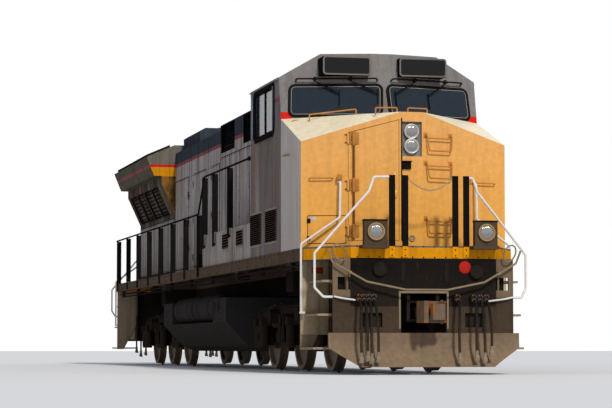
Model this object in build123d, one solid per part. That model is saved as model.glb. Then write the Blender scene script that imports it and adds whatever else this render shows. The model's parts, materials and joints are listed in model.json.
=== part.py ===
"""Six-axle, wide-nose freight diesel locomotive, millimetres, front towards -Y, +Z up.

The origin is on the floor at the middle of the locomotive. The wheels stand on their flange tips.
"""
import math
import os

from build123d import *

# Overall
LENGTH = 22300.0            # between the coupler faces
BODY_HALF = 1530.0          # half width of the nose, cab and brake grid housing
HOOD_HALF = 950.0           # half width of the engine hood
SHEET = 60.0                # thickness of a framed wall
RAIL_Z = 28.0               # top of the rail, which is the wheel tread's lowest point

# Running gear
TREAD_RADIUS = 533.5
FLANGE_HEIGHT = 28.0
WHEEL_WIDTH = 140.0
WHEEL_BACK = 677.0          # half distance between the wheels' inner faces
AXLE_RADIUS = 95.0
AXLE_HALF = 1000.0
JOURNAL_RADIUS = 80.0
AXLE_SPACING = 2040.0
TRUCK_Y = 6310.0            # truck centre from the middle of the locomotive
AXLE_Z = RAIL_Z + TREAD_RADIUS

# Underframe
DECK_Z = 1800.0
SILL_BOTTOM = 1620.0
SILL_HALF = 1540.0
DECK_END = 9500.0
PLATFORM_END = 10570.0
PLATFORM_CORNER = 1050.0    # half width of the platform's straight front edge
DECK_PLATE = 40.0
CENTRE_SILL_HALF = 350.0
CENTRE_SILL_BOTTOM = 1250.0
BOLSTER_HALF_LENGTH = 260.0
BOLSTER_HALF_WIDTH = 1000.0
CENTRE_PLATE_RADIUS = 240.0
CENTRE_PLATE_Z = 1120.0

# Nose
NOSE_FRONT = -9950.0
NOSE_FLAT = 160.0           # half width of the flat centre strip
NOSE_SWEEP = 440.0          # how far the nose's corners lie behind its centre
NOSE_CORNER_Z = 3335.0
NOSE_RIDGE_Z = 3750.0
CAB_BASE_Z = 3790.0         # where the nose's top meets the cab's front
CAB_FRONT = -8500.0         # cab front on the centre line, at its foot
CAB_SWEEP = 370.0
CAB_LEAN = 240.0            # how far the cab's front leans back up to the roof
CAB_REAR = -5800.0
CAB_SHOULDER_Z = 4440.0
CAB_ROOF_Z = 4800.0
CAB_ROOF_HALF = 910.0
CAB_FLOOR_Z = 2450.0

# Hoods
GRID_REAR = 0.0
GRID_Z = 4550.0             # top of the hood that holds the brake grids
HOOD_Z = 4460.0             # top of the engine hood
HUMP_FRONT = 3000.0
HUMP_Z = 4730.0
RADIATOR_FRONT = 5100.0
RADIATOR_REAR = 10000.0
RADIATOR_HALF = 1560.0

# Walkways
RAISED_Z = 2360.0           # walkway beside the cab's rear and the grid housing
RAISED_REAR = -1500.0
RAIL_HALF = 1545.0          # half distance between the side handrails
HANDRAIL_RADIUS = 17.0
RAISED_RAIL_Z = 3390.0
LOW_RAIL_Z = 2760.0
CLEAR = 6.0                 # running gap round a door

os.makedirs("parts", exist_ok=True)
written = []


def write(node, *shapes):
    """Writes one node from one shape or several that do not touch."""
    shape = shapes[0] if len(shapes) == 1 else Compound(children=list(shapes))
    export_step(shape, "parts/" + node + ".step")
    written.append(node)


def block(x, y, z):
    """A box from three pairs of limits."""
    size = [abs(pair[1] - pair[0]) for pair in (x, y, z)]
    middle = [(pair[0] + pair[1]) / 2 for pair in (x, y, z)]
    return Pos(*middle) * Box(*size)


def both_sides(solid):
    """The solid and its mirror image across the locomotive's middle plane."""
    return [solid, mirror(solid, about=Plane.YZ)]


def join(solids):
    """One solid from solids that touch or overlap."""
    result = solids[0]
    for solid in solids[1:]:
        result = result + solid
    return result


def prism_x(points, x0, x1):
    """A (y, z) outline carried from x0 to x1."""
    face = make_face(Polyline([(x0, y, z) for y, z in points], close=True))
    return extrude(face, amount=x1 - x0, dir=(1, 0, 0))


def prism_y(points, y0, y1):
    """An (x, z) outline carried from y0 to y1."""
    face = make_face(Polyline([(x, y0, z) for x, z in points], close=True))
    return extrude(face, amount=y1 - y0, dir=(0, 1, 0))


def prism_z(points, z0, z1):
    """An (x, y) outline carried from z0 to z1."""
    face = make_face(Polyline([(x, y, z0) for x, y in points], close=True))
    return extrude(face, amount=z1 - z0, dir=(0, 0, 1))


def rod(start, end, radius):
    """A round bar between two points."""
    start, end = Vector(*start), Vector(*end)
    along = end - start
    return extrude(Plane(start, z_dir=along) * Circle(radius), amount=along.length)


def pipe(points, radius, bend):
    """A bent pipe through a short list of points, with one bend radius."""
    path = FilletPolyline(*points, radius=bend)
    start = Plane(path @ 0, z_dir=path % 0)
    return sweep(start * Circle(radius), path=path)


def below(solid, points):
    """The part of a solid that lies under the plane through three points."""
    a, b, c = (Vector(*point) for point in points)
    normal = (b - a).cross(c - a)
    if normal.Z < 0:
        normal = normal * -1
    return split(solid, bisect_by=Plane(a, z_dir=normal), keep=Keep.BOTTOM)


def on_face(y_front, sweep_back, half, side):
    """A plane on a swept front: x runs outwards from the flat strip's edge, y runs up."""
    start = Vector(side * NOSE_FLAT, y_front, 0)
    end = Vector(side * half, y_front + sweep_back, 0)
    along = (end - start).normalized()
    return Plane(start, x_dir=along, z_dir=along.cross(Vector(0, 0, 1)))


# Door hinges
HINGE_OUT = 20.0            # pin's distance from the door's outer face
PIN_RADIUS = 8.0
BARREL_RADIUS = 15.0
BARREL_HALF = 40.0
COLLAR = (42.0, 72.0)
RUNNING_FIT = 0.05
PLATE = 8.0


def hinges(pin, towards, outward, heights):
    """Strapped barrels for a door, and the pins with their plates for the frame beside it."""
    towards, outward = Vector(*towards), Vector(*outward)
    sign = 1 if towards.cross(outward).Z > 0 else -1
    plane = Plane(Vector(pin[0], pin[1], 0), x_dir=towards, z_dir=(0, 0, sign))
    gap = CLEAR / 2
    barrels, pins = [], []
    for height in heights:
        place = plane * Pos(0, 0, sign * height)
        barrel = join([
            Cylinder(BARREL_RADIUS, 2 * BARREL_HALF),
            block((gap, 70), (-HINGE_OUT, PLATE - HINGE_OUT), (-30, 30)),
            block((gap, BARREL_RADIUS), (-HINGE_OUT, 0), (-30, 30)),
        ])
        barrels.append(place * (barrel - Cylinder(PIN_RADIUS + RUNNING_FIT, 3 * BARREL_HALF)))
        parts = [Cylinder(PIN_RADIUS, 2 * COLLAR[1])]
        for end in (-1, 1):
            z = (end * COLLAR[0], end * COLLAR[1])
            parts.append(Pos(0, 0, (z[0] + z[1]) / 2) * Cylinder(BARREL_RADIUS, COLLAR[1] - COLLAR[0]))
            parts.append(block((-45, -gap), (-HINGE_OUT, PLATE - HINGE_OUT), z))
            parts.append(block((-BARREL_RADIUS, -gap), (-HINGE_OUT, 0), z))
        pins.append(place * join(parts))
    return barrels, pins


# Wheelsets
def wheelset(y):
    """An axle with its two wheels, turned in one piece round the X axis."""
    back, front = WHEEL_BACK, WHEEL_BACK + WHEEL_WIDTH
    tread = TREAD_RADIUS
    flange = tread + FLANGE_HEIGHT
    half = [
        (AXLE_RADIUS, back - 20), (190, back), (200, back + 15), (430, back + 50),
        (460, back), (flange - 8, back), (flange, back + 14), (tread + 8, back + 34), (tread, back + 50),
        (tread - 5, front), (465, front), (435, back + 85), (200, back + 60), (190, front + 10),
        (JOURNAL_RADIUS, front + 10), (JOURNAL_RADIUS, AXLE_HALF), (0, AXLE_HALF),
    ]
    outline = half + [(radius, -x) for radius, x in reversed(half)]
    face = make_face(Polyline([(x, radius, 0) for radius, x in outline], close=True))
    return Pos(0, y, AXLE_Z) * revolve(face, axis=Axis.X)


# Trucks
FRAME_X = (860.0, 960.0)
SPRING_X = 1030.0
SPRING_RADIUS = 75.0
SPRING_HEIGHT = 320.0
SPRING_OFFSETS = (-240.0, 240.0)
MOTORS = (
    # axle, side on which its motor hangs, cross beam's face that holds the lug
    (-AXLE_SPACING, 1, -AXLE_SPACING / 2 - 130),
    (0, 1, AXLE_SPACING / 2 - 130),
    (AXLE_SPACING, -1, AXLE_SPACING / 2 + 130),
)


def truck(centre):
    """Frame, journal boxes with springs, motors and brake cylinders of one truck."""
    beam = [
        (-2750, 760), (-2750, 900), (-2450, 1010), (-1500, 1060), (1500, 1060), (2450, 1010), (2750, 900),
        (2750, 760), (2350, 790), (1650, 790), (1450, 700), (600, 700), (400, 790), (-400, 790), (-600, 700),
        (-1450, 700), (-1650, 790), (-2350, 790),
    ]
    side = prism_x([(centre + y, z) for y, z in beam], *FRAME_X)
    cross = [
        block((-FRAME_X[0], FRAME_X[0]), (centre + y - 130, centre + y + 130), (840, 1040))
        for y in (-AXLE_SPACING / 2, AXLE_SPACING / 2)
    ]
    ends = [
        block((-FRAME_X[0], FRAME_X[0]), (centre + y - 60, centre + y + 60), (780, 900)) for y in (-2690, 2690)
    ]
    spine = block((-300, 300), (centre - 1150, centre + 1150), (1000, CENTRE_PLATE_Z))
    pockets = []
    for y in (-AXLE_SPACING, 0, AXLE_SPACING):
        for offset in SPRING_OFFSETS:
            place = centre + y + offset
            pockets += both_sides(block((FRAME_X[0], SPRING_X + 80), (place - 90, place + 90),
                                        (AXLE_Z - 150 + SPRING_HEIGHT, 860)))
    frame = join(both_sides(side) + cross + ends + [spine] + pockets)
    boxes = []
    for y in (-AXLE_SPACING, 0, AXLE_SPACING):
        box = block((865, 1090), (centre + y - 150, centre + y + 150), (AXLE_Z - 150, AXLE_Z + 180))
        seat = block((975, 1085), (centre + y - 330, centre + y + 330), (AXLE_Z - 190, AXLE_Z - 150))
        bore = Pos(865 + 69, centre + y, AXLE_Z) * Rot(0, 90, 0) * Cylinder(JOURNAL_RADIUS + 0.05, 138)
        parts = [box + seat - bore]
        for offset in SPRING_OFFSETS:
            spring = Pos(SPRING_X, centre + y + offset, AXLE_Z - 150 + SPRING_HEIGHT / 2)
            parts.append(spring * Cylinder(SPRING_RADIUS, SPRING_HEIGHT))
        boxes += both_sides(join(parts))
    motors = []
    for y, side, beam in MOTORS:
        near, far = y + side * (AXLE_RADIUS + CLEAR), y + side * 660
        motor = block((-560, 560), (centre + near, centre + far), (330, 830))
        nose = block((-150, 150), (centre + far, centre + beam), (760, 900))
        motors.append(motor + nose)
    cylinders = []
    for y in (-AXLE_SPACING / 2, AXLE_SPACING / 2):
        body = Pos(FRAME_X[1] + 80, centre + y, 880) * Rot(0, 90, 0) * Cylinder(110, 160)
        cylinders += both_sides(body)
    return join([frame] + cylinders), boxes, motors


# Underframe with its deck, centre sill, bolsters and jacking pads
JACK_PADS_Y = (-4600.0, 4600.0)
JACK_PAD_HALF = 130.0
JACK_PAD_X = (1330.0, 1530.0)
JACK_PAD_Z = 1480.0
COUPLER_Z = 868.0
COUPLER_PIVOT = -9900.0
PIVOT_RADIUS = 45.0
POCKET_HALF = 190.0
POCKET_Z = (740.0, 1000.0)
POCKET_REAR = 9700.0


def underframe():
    deck = block((-SILL_HALF, SILL_HALF), (-DECK_END, DECK_END), (DECK_Z - DECK_PLATE, DECK_Z))
    solids = [deck]
    for x in ((-SILL_HALF, -SILL_HALF + 90), (SILL_HALF - 90, SILL_HALF)):
        solids.append(block(x, (-DECK_END, DECK_END), (SILL_BOTTOM, DECK_Z)))
    solids.append(block((-CENTRE_SILL_HALF, CENTRE_SILL_HALF), (-PLATFORM_END + 40, PLATFORM_END - 40),
                        (CENTRE_SILL_BOTTOM, DECK_Z - DECK_PLATE)))
    for centre in (-TRUCK_Y, TRUCK_Y):
        solids.append(block((-BOLSTER_HALF_WIDTH, BOLSTER_HALF_WIDTH),
                            (centre - BOLSTER_HALF_LENGTH, centre + BOLSTER_HALF_LENGTH),
                            (CENTRE_SILL_BOTTOM, DECK_Z - DECK_PLATE)))
        solids.append(Pos(0, centre, (CENTRE_PLATE_Z + CENTRE_SILL_BOTTOM) / 2)
                      * Cylinder(CENTRE_PLATE_RADIUS, CENTRE_SILL_BOTTOM - CENTRE_PLATE_Z))
    for y in JACK_PADS_Y:
        solids += both_sides(block(JACK_PAD_X, (y - JACK_PAD_HALF, y + JACK_PAD_HALF), (JACK_PAD_Z, SILL_BOTTOM)))
    return join(solids)


def draft_pockets():
    """Open boxes under the centre sill's ends, each with the pin that a coupler swings on."""
    pockets = []
    for end in (-1, 1):
        y = (end * (PLATFORM_END - 40), end * POCKET_REAR)
        walls = [block((x * POCKET_HALF, x * (POCKET_HALF + 45)), y, (POCKET_Z[0], CENTRE_SILL_BOTTOM)) for x in (-1, 1)]
        width = (-POCKET_HALF - 45, POCKET_HALF + 45)
        walls.append(block(width, y, (POCKET_Z[0], POCKET_Z[0] + 35)))
        walls.append(block(width, y, (POCKET_Z[1], POCKET_Z[1] + 35)))
        walls.append(Pos(0, end * -COUPLER_PIVOT, (POCKET_Z[0] + POCKET_Z[1]) / 2)
                     * Cylinder(PIVOT_RADIUS, POCKET_Z[1] - POCKET_Z[0]))
        pockets.append(join(walls))
    return pockets


# End platforms with their step wells and pilot plates, front end built and turned for the rear
WELL_X = (1110.0, SILL_HALF)
WELL_Y = (-PLATFORM_END, -DECK_END)
STEP_Z = (380.0, 850.0, 1320.0)
PILOT_HALF = 1310.0
PILOT_BOTTOM = 520.0


def end_platform():
    outline = [
        (-SILL_HALF, -DECK_END), (-SILL_HALF, -9750), (-PLATFORM_CORNER, -PLATFORM_END),
        (PLATFORM_CORNER, -PLATFORM_END), (SILL_HALF, -9750), (SILL_HALF, -DECK_END),
    ]
    solids = [prism_z(outline, SILL_BOTTOM, DECK_Z)]
    solids[0] = solids[0] - block((-CENTRE_SILL_HALF, CENTRE_SILL_HALF), (-PLATFORM_END + 40, -DECK_END),
                                  (SILL_BOTTOM - 1, DECK_Z - DECK_PLATE))
    plate = block((-PILOT_HALF, PILOT_HALF), (-PLATFORM_END, -PLATFORM_END + 40), (PILOT_BOTTOM, SILL_BOTTOM + 5))
    plate = plate - block((-330, 330), (-PLATFORM_END - 5, -PLATFORM_END + 45), (PILOT_BOTTOM - 5, 1130))
    for side in (-1, 1):
        plate = plate - block((side * 1060, side * 1240), (-PLATFORM_END - 5, -PLATFORM_END + 45), (1180, 1360))
        plate = plate - block((side * 600, side * 900), (-PLATFORM_END - 5, -PLATFORM_END + 45), (660, 860))
    solids.append(plate)
    for side in (-1, 1):
        inner, outer = side * WELL_X[0], side * WELL_X[1]
        rear = prism_y([(inner, SILL_BOTTOM + 5), (outer, SILL_BOTTOM + 5), (outer, 340), (outer - side * 150, 340),
                        (inner, 900)], -DECK_END - 30, -DECK_END)
        wall = block((inner - side * 25, inner), (-PLATFORM_END + 20, -DECK_END), (PILOT_BOTTOM, SILL_BOTTOM + 5))
        solids += [rear, wall]
        for height, front in zip(STEP_Z, (-10340, -10380, -10420)):
            reach = outer - side * (height - STEP_Z[0]) * 0.12
            solids.append(block((inner - side * 10, reach), (front, -DECK_END - 10), (height - 30, height)))
    return join(solids)


def plow():
    """A curved blade with slanted lower corners, hung under the pilot plate."""
    top, low, back = PILOT_BOTTOM + 60, 105.0, -PLATFORM_END
    bend, down = 500.0, (0, 0, -1)
    outer = TangentArc((0, back - 40, bend), (0, back - 250, low), tangent=down)
    inner = TangentArc((0, back, bend), (0, back - 215, low), tangent=down)
    face = make_face([outer, inner, Line((0, back - 40, bend), (0, back - 40, top)),
                      Line((0, back - 40, top), (0, back, top)), Line((0, back, top), (0, back, bend)),
                      Line(outer @ 1, inner @ 1)])
    blade = extrude(face, amount=1380, dir=(1, 0, 0), both=True)
    outline = [(-960, low), (960, low), (1380, 370), (1380, top), (-1380, top), (-1380, 370)]
    mask = prism_y(outline, back - 400, back + 100)
    return blade & mask


# Nose
def nose_body(inset):
    """The nose's convex form, drawn in by a wall's thickness."""
    half = BODY_HALF - inset
    front = NOSE_FRONT + inset
    corner = front + NOSE_SWEEP
    foot = CAB_FRONT
    plan = [
        (-half, foot + CAB_SWEEP), (-half, corner), (-NOSE_FLAT, front), (NOSE_FLAT, front), (half, corner),
        (half, foot + CAB_SWEEP), (NOSE_FLAT, foot), (-NOSE_FLAT, foot),
    ]
    body = prism_z(plan, DECK_Z, CAB_BASE_Z + 50)
    top = (0, 0, -inset)
    for side in (-1, 1):
        ridge = (side * NOSE_FLAT, NOSE_FRONT, NOSE_RIDGE_Z + top[2])
        low = (side * BODY_HALF, NOSE_FRONT + NOSE_SWEEP, NOSE_CORNER_Z + top[2])
        back = (side * BODY_HALF, CAB_FRONT + CAB_SWEEP, CAB_BASE_Z + top[2])
        crest = (side * NOSE_FLAT, CAB_FRONT, CAB_BASE_Z + 15 + top[2])
        body = below(body, (ridge, low, back))
        body = below(body, (ridge, back, crest))
    body = below(body, ((-NOSE_FLAT, NOSE_FRONT, NOSE_RIDGE_Z + top[2]), (NOSE_FLAT, NOSE_FRONT, NOSE_RIDGE_Z + top[2]),
                        (0, CAB_FRONT, CAB_BASE_Z + 15 + top[2])))
    return body


DOOR_NEAR, DOOR_FAR = 25.0, 760.0      # nose door's edges, measured along the swept face
DOOR_LOW, DOOR_HIGH_FAR, DOOR_HIGH_NEAR = 1900.0, 3460.0, 3640.0
NOSE_HINGES_Z = (2040.0, 2700.0, 3370.0)
HEADLIGHT_HALF = 150.0
HEADLIGHT_Z = (3110.0, 3610.0)


def nose():
    shell = nose_body(0) - nose_body(SHEET)
    plane = on_face(NOSE_FRONT, NOSE_SWEEP, BODY_HALF, -1)
    outline = [(DOOR_NEAR, DOOR_LOW), (DOOR_FAR, DOOR_LOW), (DOOR_FAR, DOOR_HIGH_FAR), (DOOR_NEAR, DOOR_HIGH_NEAR)]
    hole = extrude(plane * make_face(Polyline(outline, close=True)), amount=200, both=True)
    grown = [
        (DOOR_NEAR + CLEAR, DOOR_LOW + CLEAR), (DOOR_FAR - CLEAR, DOOR_LOW + CLEAR),
        (DOOR_FAR - CLEAR, DOOR_HIGH_FAR - CLEAR * 1.5), (DOOR_NEAR + CLEAR, DOOR_HIGH_NEAR - CLEAR * 1.5),
    ]
    panel = plane * make_face(Polyline(grown, close=True))
    sign = 1 if plane.z_dir.Y < 0 else -1
    outward = plane.z_dir * sign
    door = extrude(panel, amount=SHEET - 5, dir=-outward)
    shell = shell - hole
    edge = plane.origin + plane.x_dir * (DOOR_FAR - CLEAR / 2) + outward * HINGE_OUT
    barrels, pins = hinges((edge.X, edge.Y), -plane.x_dir, outward, NOSE_HINGES_Z)
    door = join([door] + barrels)
    shell = join([shell] + pins)
    recess = block((-HEADLIGHT_HALF, HEADLIGHT_HALF), (NOSE_FRONT - 10, NOSE_FRONT + SHEET + 5), HEADLIGHT_Z)
    shell = shell - recess
    return shell, door


# Cab
def cab_body(inset):
    half = BODY_HALF - inset
    roof = CAB_ROOF_HALF - inset * 0.4
    outline = [
        (-half, DECK_Z), (-half, CAB_SHOULDER_Z - inset * 0.4), (-roof, CAB_ROOF_Z - inset),
        (roof, CAB_ROOF_Z - inset), (half, CAB_SHOULDER_Z - inset * 0.4), (half, DECK_Z),
    ]
    body = prism_y(outline, CAB_FRONT - 300, CAB_REAR - inset)
    for side in (-1, 1):
        foot = Vector(side * NOSE_FLAT, CAB_FRONT + inset, CAB_BASE_Z)
        corner = Vector(side * BODY_HALF, CAB_FRONT + CAB_SWEEP + inset, CAB_BASE_Z)
        top = Vector(side * NOSE_FLAT, CAB_FRONT + CAB_LEAN + inset, CAB_ROOF_Z)
        normal = (corner - foot).cross(top - foot)
        if normal.Y > 0:
            normal = normal * -1
        body = split(body, bisect_by=Plane(foot, z_dir=normal), keep=Keep.BOTTOM)
    foot = Vector(0, CAB_FRONT + inset, CAB_BASE_Z)
    body = split(body, bisect_by=Plane(foot, z_dir=Vector(0, -(CAB_ROOF_Z - CAB_BASE_Z), CAB_LEAN).normalized()),
                 keep=Keep.BOTTOM)
    return body


WINDOW_Y = (-7630.0, -6180.0)
WINDOW_Z = (3650.0, 4360.0)
SHIELD_NEAR, SHIELD_FAR = 60.0, 1290.0
SHIELD_Z = (3860.0, 4290.0)
REAR_DOOR_X = (1000.0, 1460.0)
REAR_DOOR_Z = (CAB_FLOOR_Z, 4280.0)
REAR_HINGES_Z = (2620.0, 3360.0, 4180.0)
REAR_PANE_X = (1080.0, 1380.0)
REAR_PANE_Z = (3500.0, 4120.0)
GLASS = 20.0


def cab():
    """Cab shell with its windows cut, glass panes, and the rear door."""
    shell = cab_body(0) - (cab_body(SHEET) & block((-2000, 2000), (-9500, -4000), (CAB_FLOOR_Z, 5000)))
    shell = shell - nose_body(0)
    glass = []
    for side in (-1, 1):
        shell = shell - block((side * (BODY_HALF - 200), side * (BODY_HALF + 50)), WINDOW_Y, WINDOW_Z)
        glass.append(block((side * (BODY_HALF - 40), side * (BODY_HALF - 40 + GLASS)), WINDOW_Y, WINDOW_Z))
        start = Vector(side * NOSE_FLAT, CAB_FRONT, CAB_BASE_Z)
        along = (Vector(side * BODY_HALF, CAB_FRONT + CAB_SWEEP, CAB_BASE_Z) - start).normalized()
        rise = (Vector(side * NOSE_FLAT, CAB_FRONT + CAB_LEAN, CAB_ROOF_Z) - start).normalized()
        plane = Plane(start, x_dir=along, z_dir=along.cross(rise))
        inward = plane.z_dir * (1 if plane.z_dir.Y > 0 else -1)
        low, high = SHIELD_Z[0] - CAB_BASE_Z, SHIELD_Z[1] - CAB_BASE_Z
        sign = 1 if plane.y_dir.Z > 0 else -1
        corners = [(SHIELD_NEAR, sign * low), (SHIELD_FAR, sign * low), (SHIELD_FAR, sign * high),
                   (SHIELD_NEAR, sign * high)]
        face = plane * make_face(Polyline(corners, close=True))
        shell = shell - extrude(face, amount=250, both=True)
        glass.append(extrude(face.moved(Location(inward * 20)), amount=GLASS, dir=inward))
    doors = []
    for side in (-1, 1):
        near, far = (side * value for value in REAR_DOOR_X)
        shell = shell - block((near, far), (CAB_REAR - SHEET - 20, CAB_REAR + 20), REAR_DOOR_Z)
        door = block((near + side * CLEAR, far - side * CLEAR), (CAB_REAR - SHEET + 5, CAB_REAR),
                     (REAR_DOOR_Z[0] + CLEAR, REAR_DOOR_Z[1] - CLEAR))
        pane_x = tuple(side * value for value in REAR_PANE_X)
        door = door - block(pane_x, (CAB_REAR - 200, CAB_REAR + 50), REAR_PANE_Z)
        pin = (near + side * CLEAR / 2, CAB_REAR + HINGE_OUT)
        barrels, pins = hinges(pin, (side, 0, 0), (0, 1, 0), REAR_HINGES_Z)
        doors.append(join([door] + barrels))
        shell = join([shell] + pins)
    return shell, glass, doors


for number, (centre, sign) in enumerate((c, s) for c in (-TRUCK_Y, TRUCK_Y) for s in (-1, 0, 1)):
    write("wheelset_%d" % (number + 1), wheelset(centre + sign * AXLE_SPACING))

for name, centre in (("front", -TRUCK_Y), ("rear", TRUCK_Y)):
    frame, boxes, motors = truck(centre)
    write("truck_frame_" + name, frame)
    write("axle_boxes_" + name, *boxes)
    write("traction_motors_" + name, *motors)

write("underframe", underframe())
write("draft_pockets", *draft_pockets())
write("plow_front", plow())

nose_shell, nose_door = nose()
write("nose", nose_shell)
write("nose_door", nose_door)

cab_shell, cab_glass, cab_doors = cab()
write("cab_shell", cab_shell)
write("cab_glass", *cab_glass)
for name, door in zip(("right", "left"), cab_doors):
    write("cab_door_" + name, door)

# Hood behind the cab, engine hood, exhaust hump and radiator housing
GRID_HOLES_Y = ((-3600.0, -2200.0), (-1400.0, -60.0))
GRID_HOLE_Z = (3950.0, 4460.0)
HOOD_DOOR_WIDTH = 540.0
HOOD_DOOR_Z = (1960.0, 3780.0)
HOOD_DOOR_STARTS = (900.0, 2900.0)
HOOD_DOOR_THICK = 40.0
HOOD_HINGES_Z = (2150.0, 2870.0, 3590.0)


def hood_section(half, y, z_top, wall=SHEET, shoulder=150.0):
    """A hollow hood of one width with chamfered top edges, open below and at both ends."""
    outline = [(-half, DECK_Z), (-half, z_top - shoulder * 0.5), (-half + shoulder, z_top),
               (half - shoulder, z_top), (half, z_top - shoulder * 0.5), (half, DECK_Z)]
    inner = [(-half + wall, DECK_Z), (-half + wall, z_top - shoulder * 0.5 - wall * 0.4),
             (-half + shoulder + wall * 0.3, z_top - wall), (half - shoulder - wall * 0.3, z_top - wall),
             (half - wall, z_top - shoulder * 0.5 - wall * 0.4), (half - wall, DECK_Z)]
    return prism_y(outline, *y) - prism_y(inner, y[0] + wall, y[1] - wall)


def grid_hood():
    """Hood that holds the brake grids, with its four screened openings."""
    shell = hood_section(HOOD_HALF, (CAB_REAR, GRID_REAR), GRID_Z)
    screens = []
    for side in (-1, 1):
        for y in GRID_HOLES_Y:
            hole = block((side * (HOOD_HALF - SHEET), side * HOOD_HALF), y, GRID_HOLE_Z)
            shell = shell - hole
            frame = hole - block((side * (HOOD_HALF - SHEET - 1), side * (HOOD_HALF + 1)),
                                 (y[0] + 40, y[1] - 40), (GRID_HOLE_Z[0] + 40, GRID_HOLE_Z[1] - 40))
            slats = [frame]
            z = GRID_HOLE_Z[0] + 70
            while z < GRID_HOLE_Z[1] - 50:
                slats.append(block((side * (HOOD_HALF - 45), side * (HOOD_HALF - 15)), (y[0] + 35, y[1] - 35),
                                   (z, z + 14)))
                z += 62
            screens.append(join(slats))
    return shell, screens


def engine_hood():
    """Hollow engine hood with an opening for each hinged door."""
    shell = hood_section(HOOD_HALF, (GRID_REAR, RADIATOR_FRONT), HOOD_Z)
    doors = []
    for side in (-1, 1):
        for y in HOOD_DOOR_STARTS:
            shell = shell - block((side * (HOOD_HALF - SHEET - 10), side * (HOOD_HALF + 10)),
                                  (y, y + HOOD_DOOR_WIDTH), HOOD_DOOR_Z)
            door = block((side * (HOOD_HALF - HOOD_DOOR_THICK), side * HOOD_HALF),
                         (y + CLEAR, y + HOOD_DOOR_WIDTH - CLEAR),
                         (HOOD_DOOR_Z[0] + CLEAR, HOOD_DOOR_Z[1] - CLEAR))
            pin = (side * (HOOD_HALF + HINGE_OUT), y + CLEAR / 2)
            barrels, pins = hinges(pin, (0, 1, 0), (side, 0, 0), HOOD_HINGES_Z)
            doors.append(join([door] + barrels))
            shell = join([shell] + pins)
    return shell, doors


def hump():
    """Raised roof over the exhaust stack, seated on the engine hood."""
    outline = [(-800, HOOD_Z), (-800, HUMP_Z - 60), (-700, HUMP_Z), (700, HUMP_Z), (800, HUMP_Z - 60), (800, HOOD_Z)]
    body = prism_y(outline, HUMP_FRONT, RADIATOR_FRONT - 100)
    stack = block((-330, 330), (HUMP_FRONT + 500, HUMP_FRONT + 1250), (HUMP_Z - 150, HUMP_Z + 60))
    return body + stack - block((-290, 290), (HUMP_FRONT + 540, HUMP_FRONT + 1210), (HUMP_Z - 100, HUMP_Z + 70))


WING_Z = (3920.0, 4310.0)
WING_SHELF = 1400.0
GRILLE_Z = (3130.0, 3760.0)
GRILLE_Y = (5500.0, 9500.0)
GRILLE_PANELS = 4
GRILLE_OUT = 1240.0


def radiator_housing():
    """Rear hood that widens into the radiator wings over the inclined intake grilles."""
    half = [
        (HOOD_HALF, DECK_Z), (HOOD_HALF, GRILLE_Z[0]), (GRILLE_OUT, GRILLE_Z[1]), (GRILLE_OUT, WING_Z[0]),
        (WING_SHELF, WING_Z[0]), (RADIATOR_HALF, WING_Z[1]), (980, 4560),
    ]
    outline = [(-x, z) for x, z in half] + [(x, z) for x, z in reversed(half)]
    body = prism_y(outline, RADIATOR_FRONT, RADIATOR_REAR)
    for side in (-1, 1):
        body = body - prism_y([(side * 960, GRILLE_Z[0] - 5), (side * (GRILLE_OUT + 5), GRILLE_Z[1] - 5),
                               (side * (GRILLE_OUT + 5), WING_Z[0] + 0), (side * (GRILLE_OUT + 300), WING_Z[0]),
                               (side * (GRILLE_OUT + 300), GRILLE_Z[0] - 5)],
                              RADIATOR_FRONT - 5, GRILLE_Y[0] - 200)
    return body


def grille_panels():
    """Four slatted panels a side on the inclined face under each wing."""
    panels = []
    rise = GRILLE_Z[1] - GRILLE_Z[0]
    lean = GRILLE_OUT - HOOD_HALF
    pitch = (GRILLE_Y[1] - GRILLE_Y[0]) / GRILLE_PANELS
    length = math.hypot(rise, lean)
    for side in (-1, 1):
        foot = Vector(side * HOOD_HALF, 0, GRILLE_Z[0])
        up = Vector(side * lean, 0, rise).normalized()
        out = Vector(side * rise, 0, -lean).normalized()
        for number in range(GRILLE_PANELS):
            y0 = GRILLE_Y[0] + number * pitch
            corner = foot + Vector(0, y0 + 20, 0)
            plane = Plane(corner, x_dir=Vector(0, 1, 0), z_dir=out)
            sign = 1 if (plane.y_dir - up).length < 0.1 else -1
            frame = Rectangle(pitch - 40, (length - 60)) - Rectangle(pitch - 120, (length - 140))
            solids = [extrude(plane * Pos((pitch - 40) / 2, sign * length / 2) * frame, amount=35)]
            slat_count = 7
            for slat in range(slat_count):
                place = 70 + (length - 140) * (slat + 0.5) / slat_count
                bar = plane * Pos((pitch - 40) / 2, sign * place) * Rectangle(pitch - 100, 22)
                solids.append(extrude(bar, amount=28))
            panels.append(join(solids))
    return panels


def radiator_roof():
    """Radiator cores in the sloping roof of the wings, as ribbed slabs."""
    cores = []
    for side in (-1, 1):
        low, high = Vector(side * RADIATOR_HALF, 0, WING_Z[1]), Vector(side * 980, 0, 4560)
        slope = (high - low).normalized()
        out = Vector(-slope.Z * side, 0, abs(slope.X))
        for number in range(4):
            y0 = RADIATOR_FRONT + 200 + number * 1150
            base = low + slope * 60 + Vector(0, y0, 0)
            top = low + slope * ((high - low).length - 60)
            face = make_face(Polyline([(base.X, y0, base.Z), (top.X, y0, top.Z),
                                       (top.X + side * 12, y0, top.Z + 45), (base.X + side * 12, y0, base.Z + 45)],
                                      close=True))
            cores.append(extrude(face, amount=1000, dir=(0, 1, 0)))
    return cores


# Boxes with louvred doors under the cab and the raised walkway
LOUVRES = (
    # front edge, rear edge, low, high, slats
    (-7800.0, -7030.0, 1990.0, 2460.0, 15),
    (-6640.0, -5850.0, 1990.0, 2460.0, 15),
    (-5080.0, -4600.0, 2050.0, 2280.0, 5),
    (-3800.0, -3340.0, 2050.0, 2280.0, 5),
)


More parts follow.
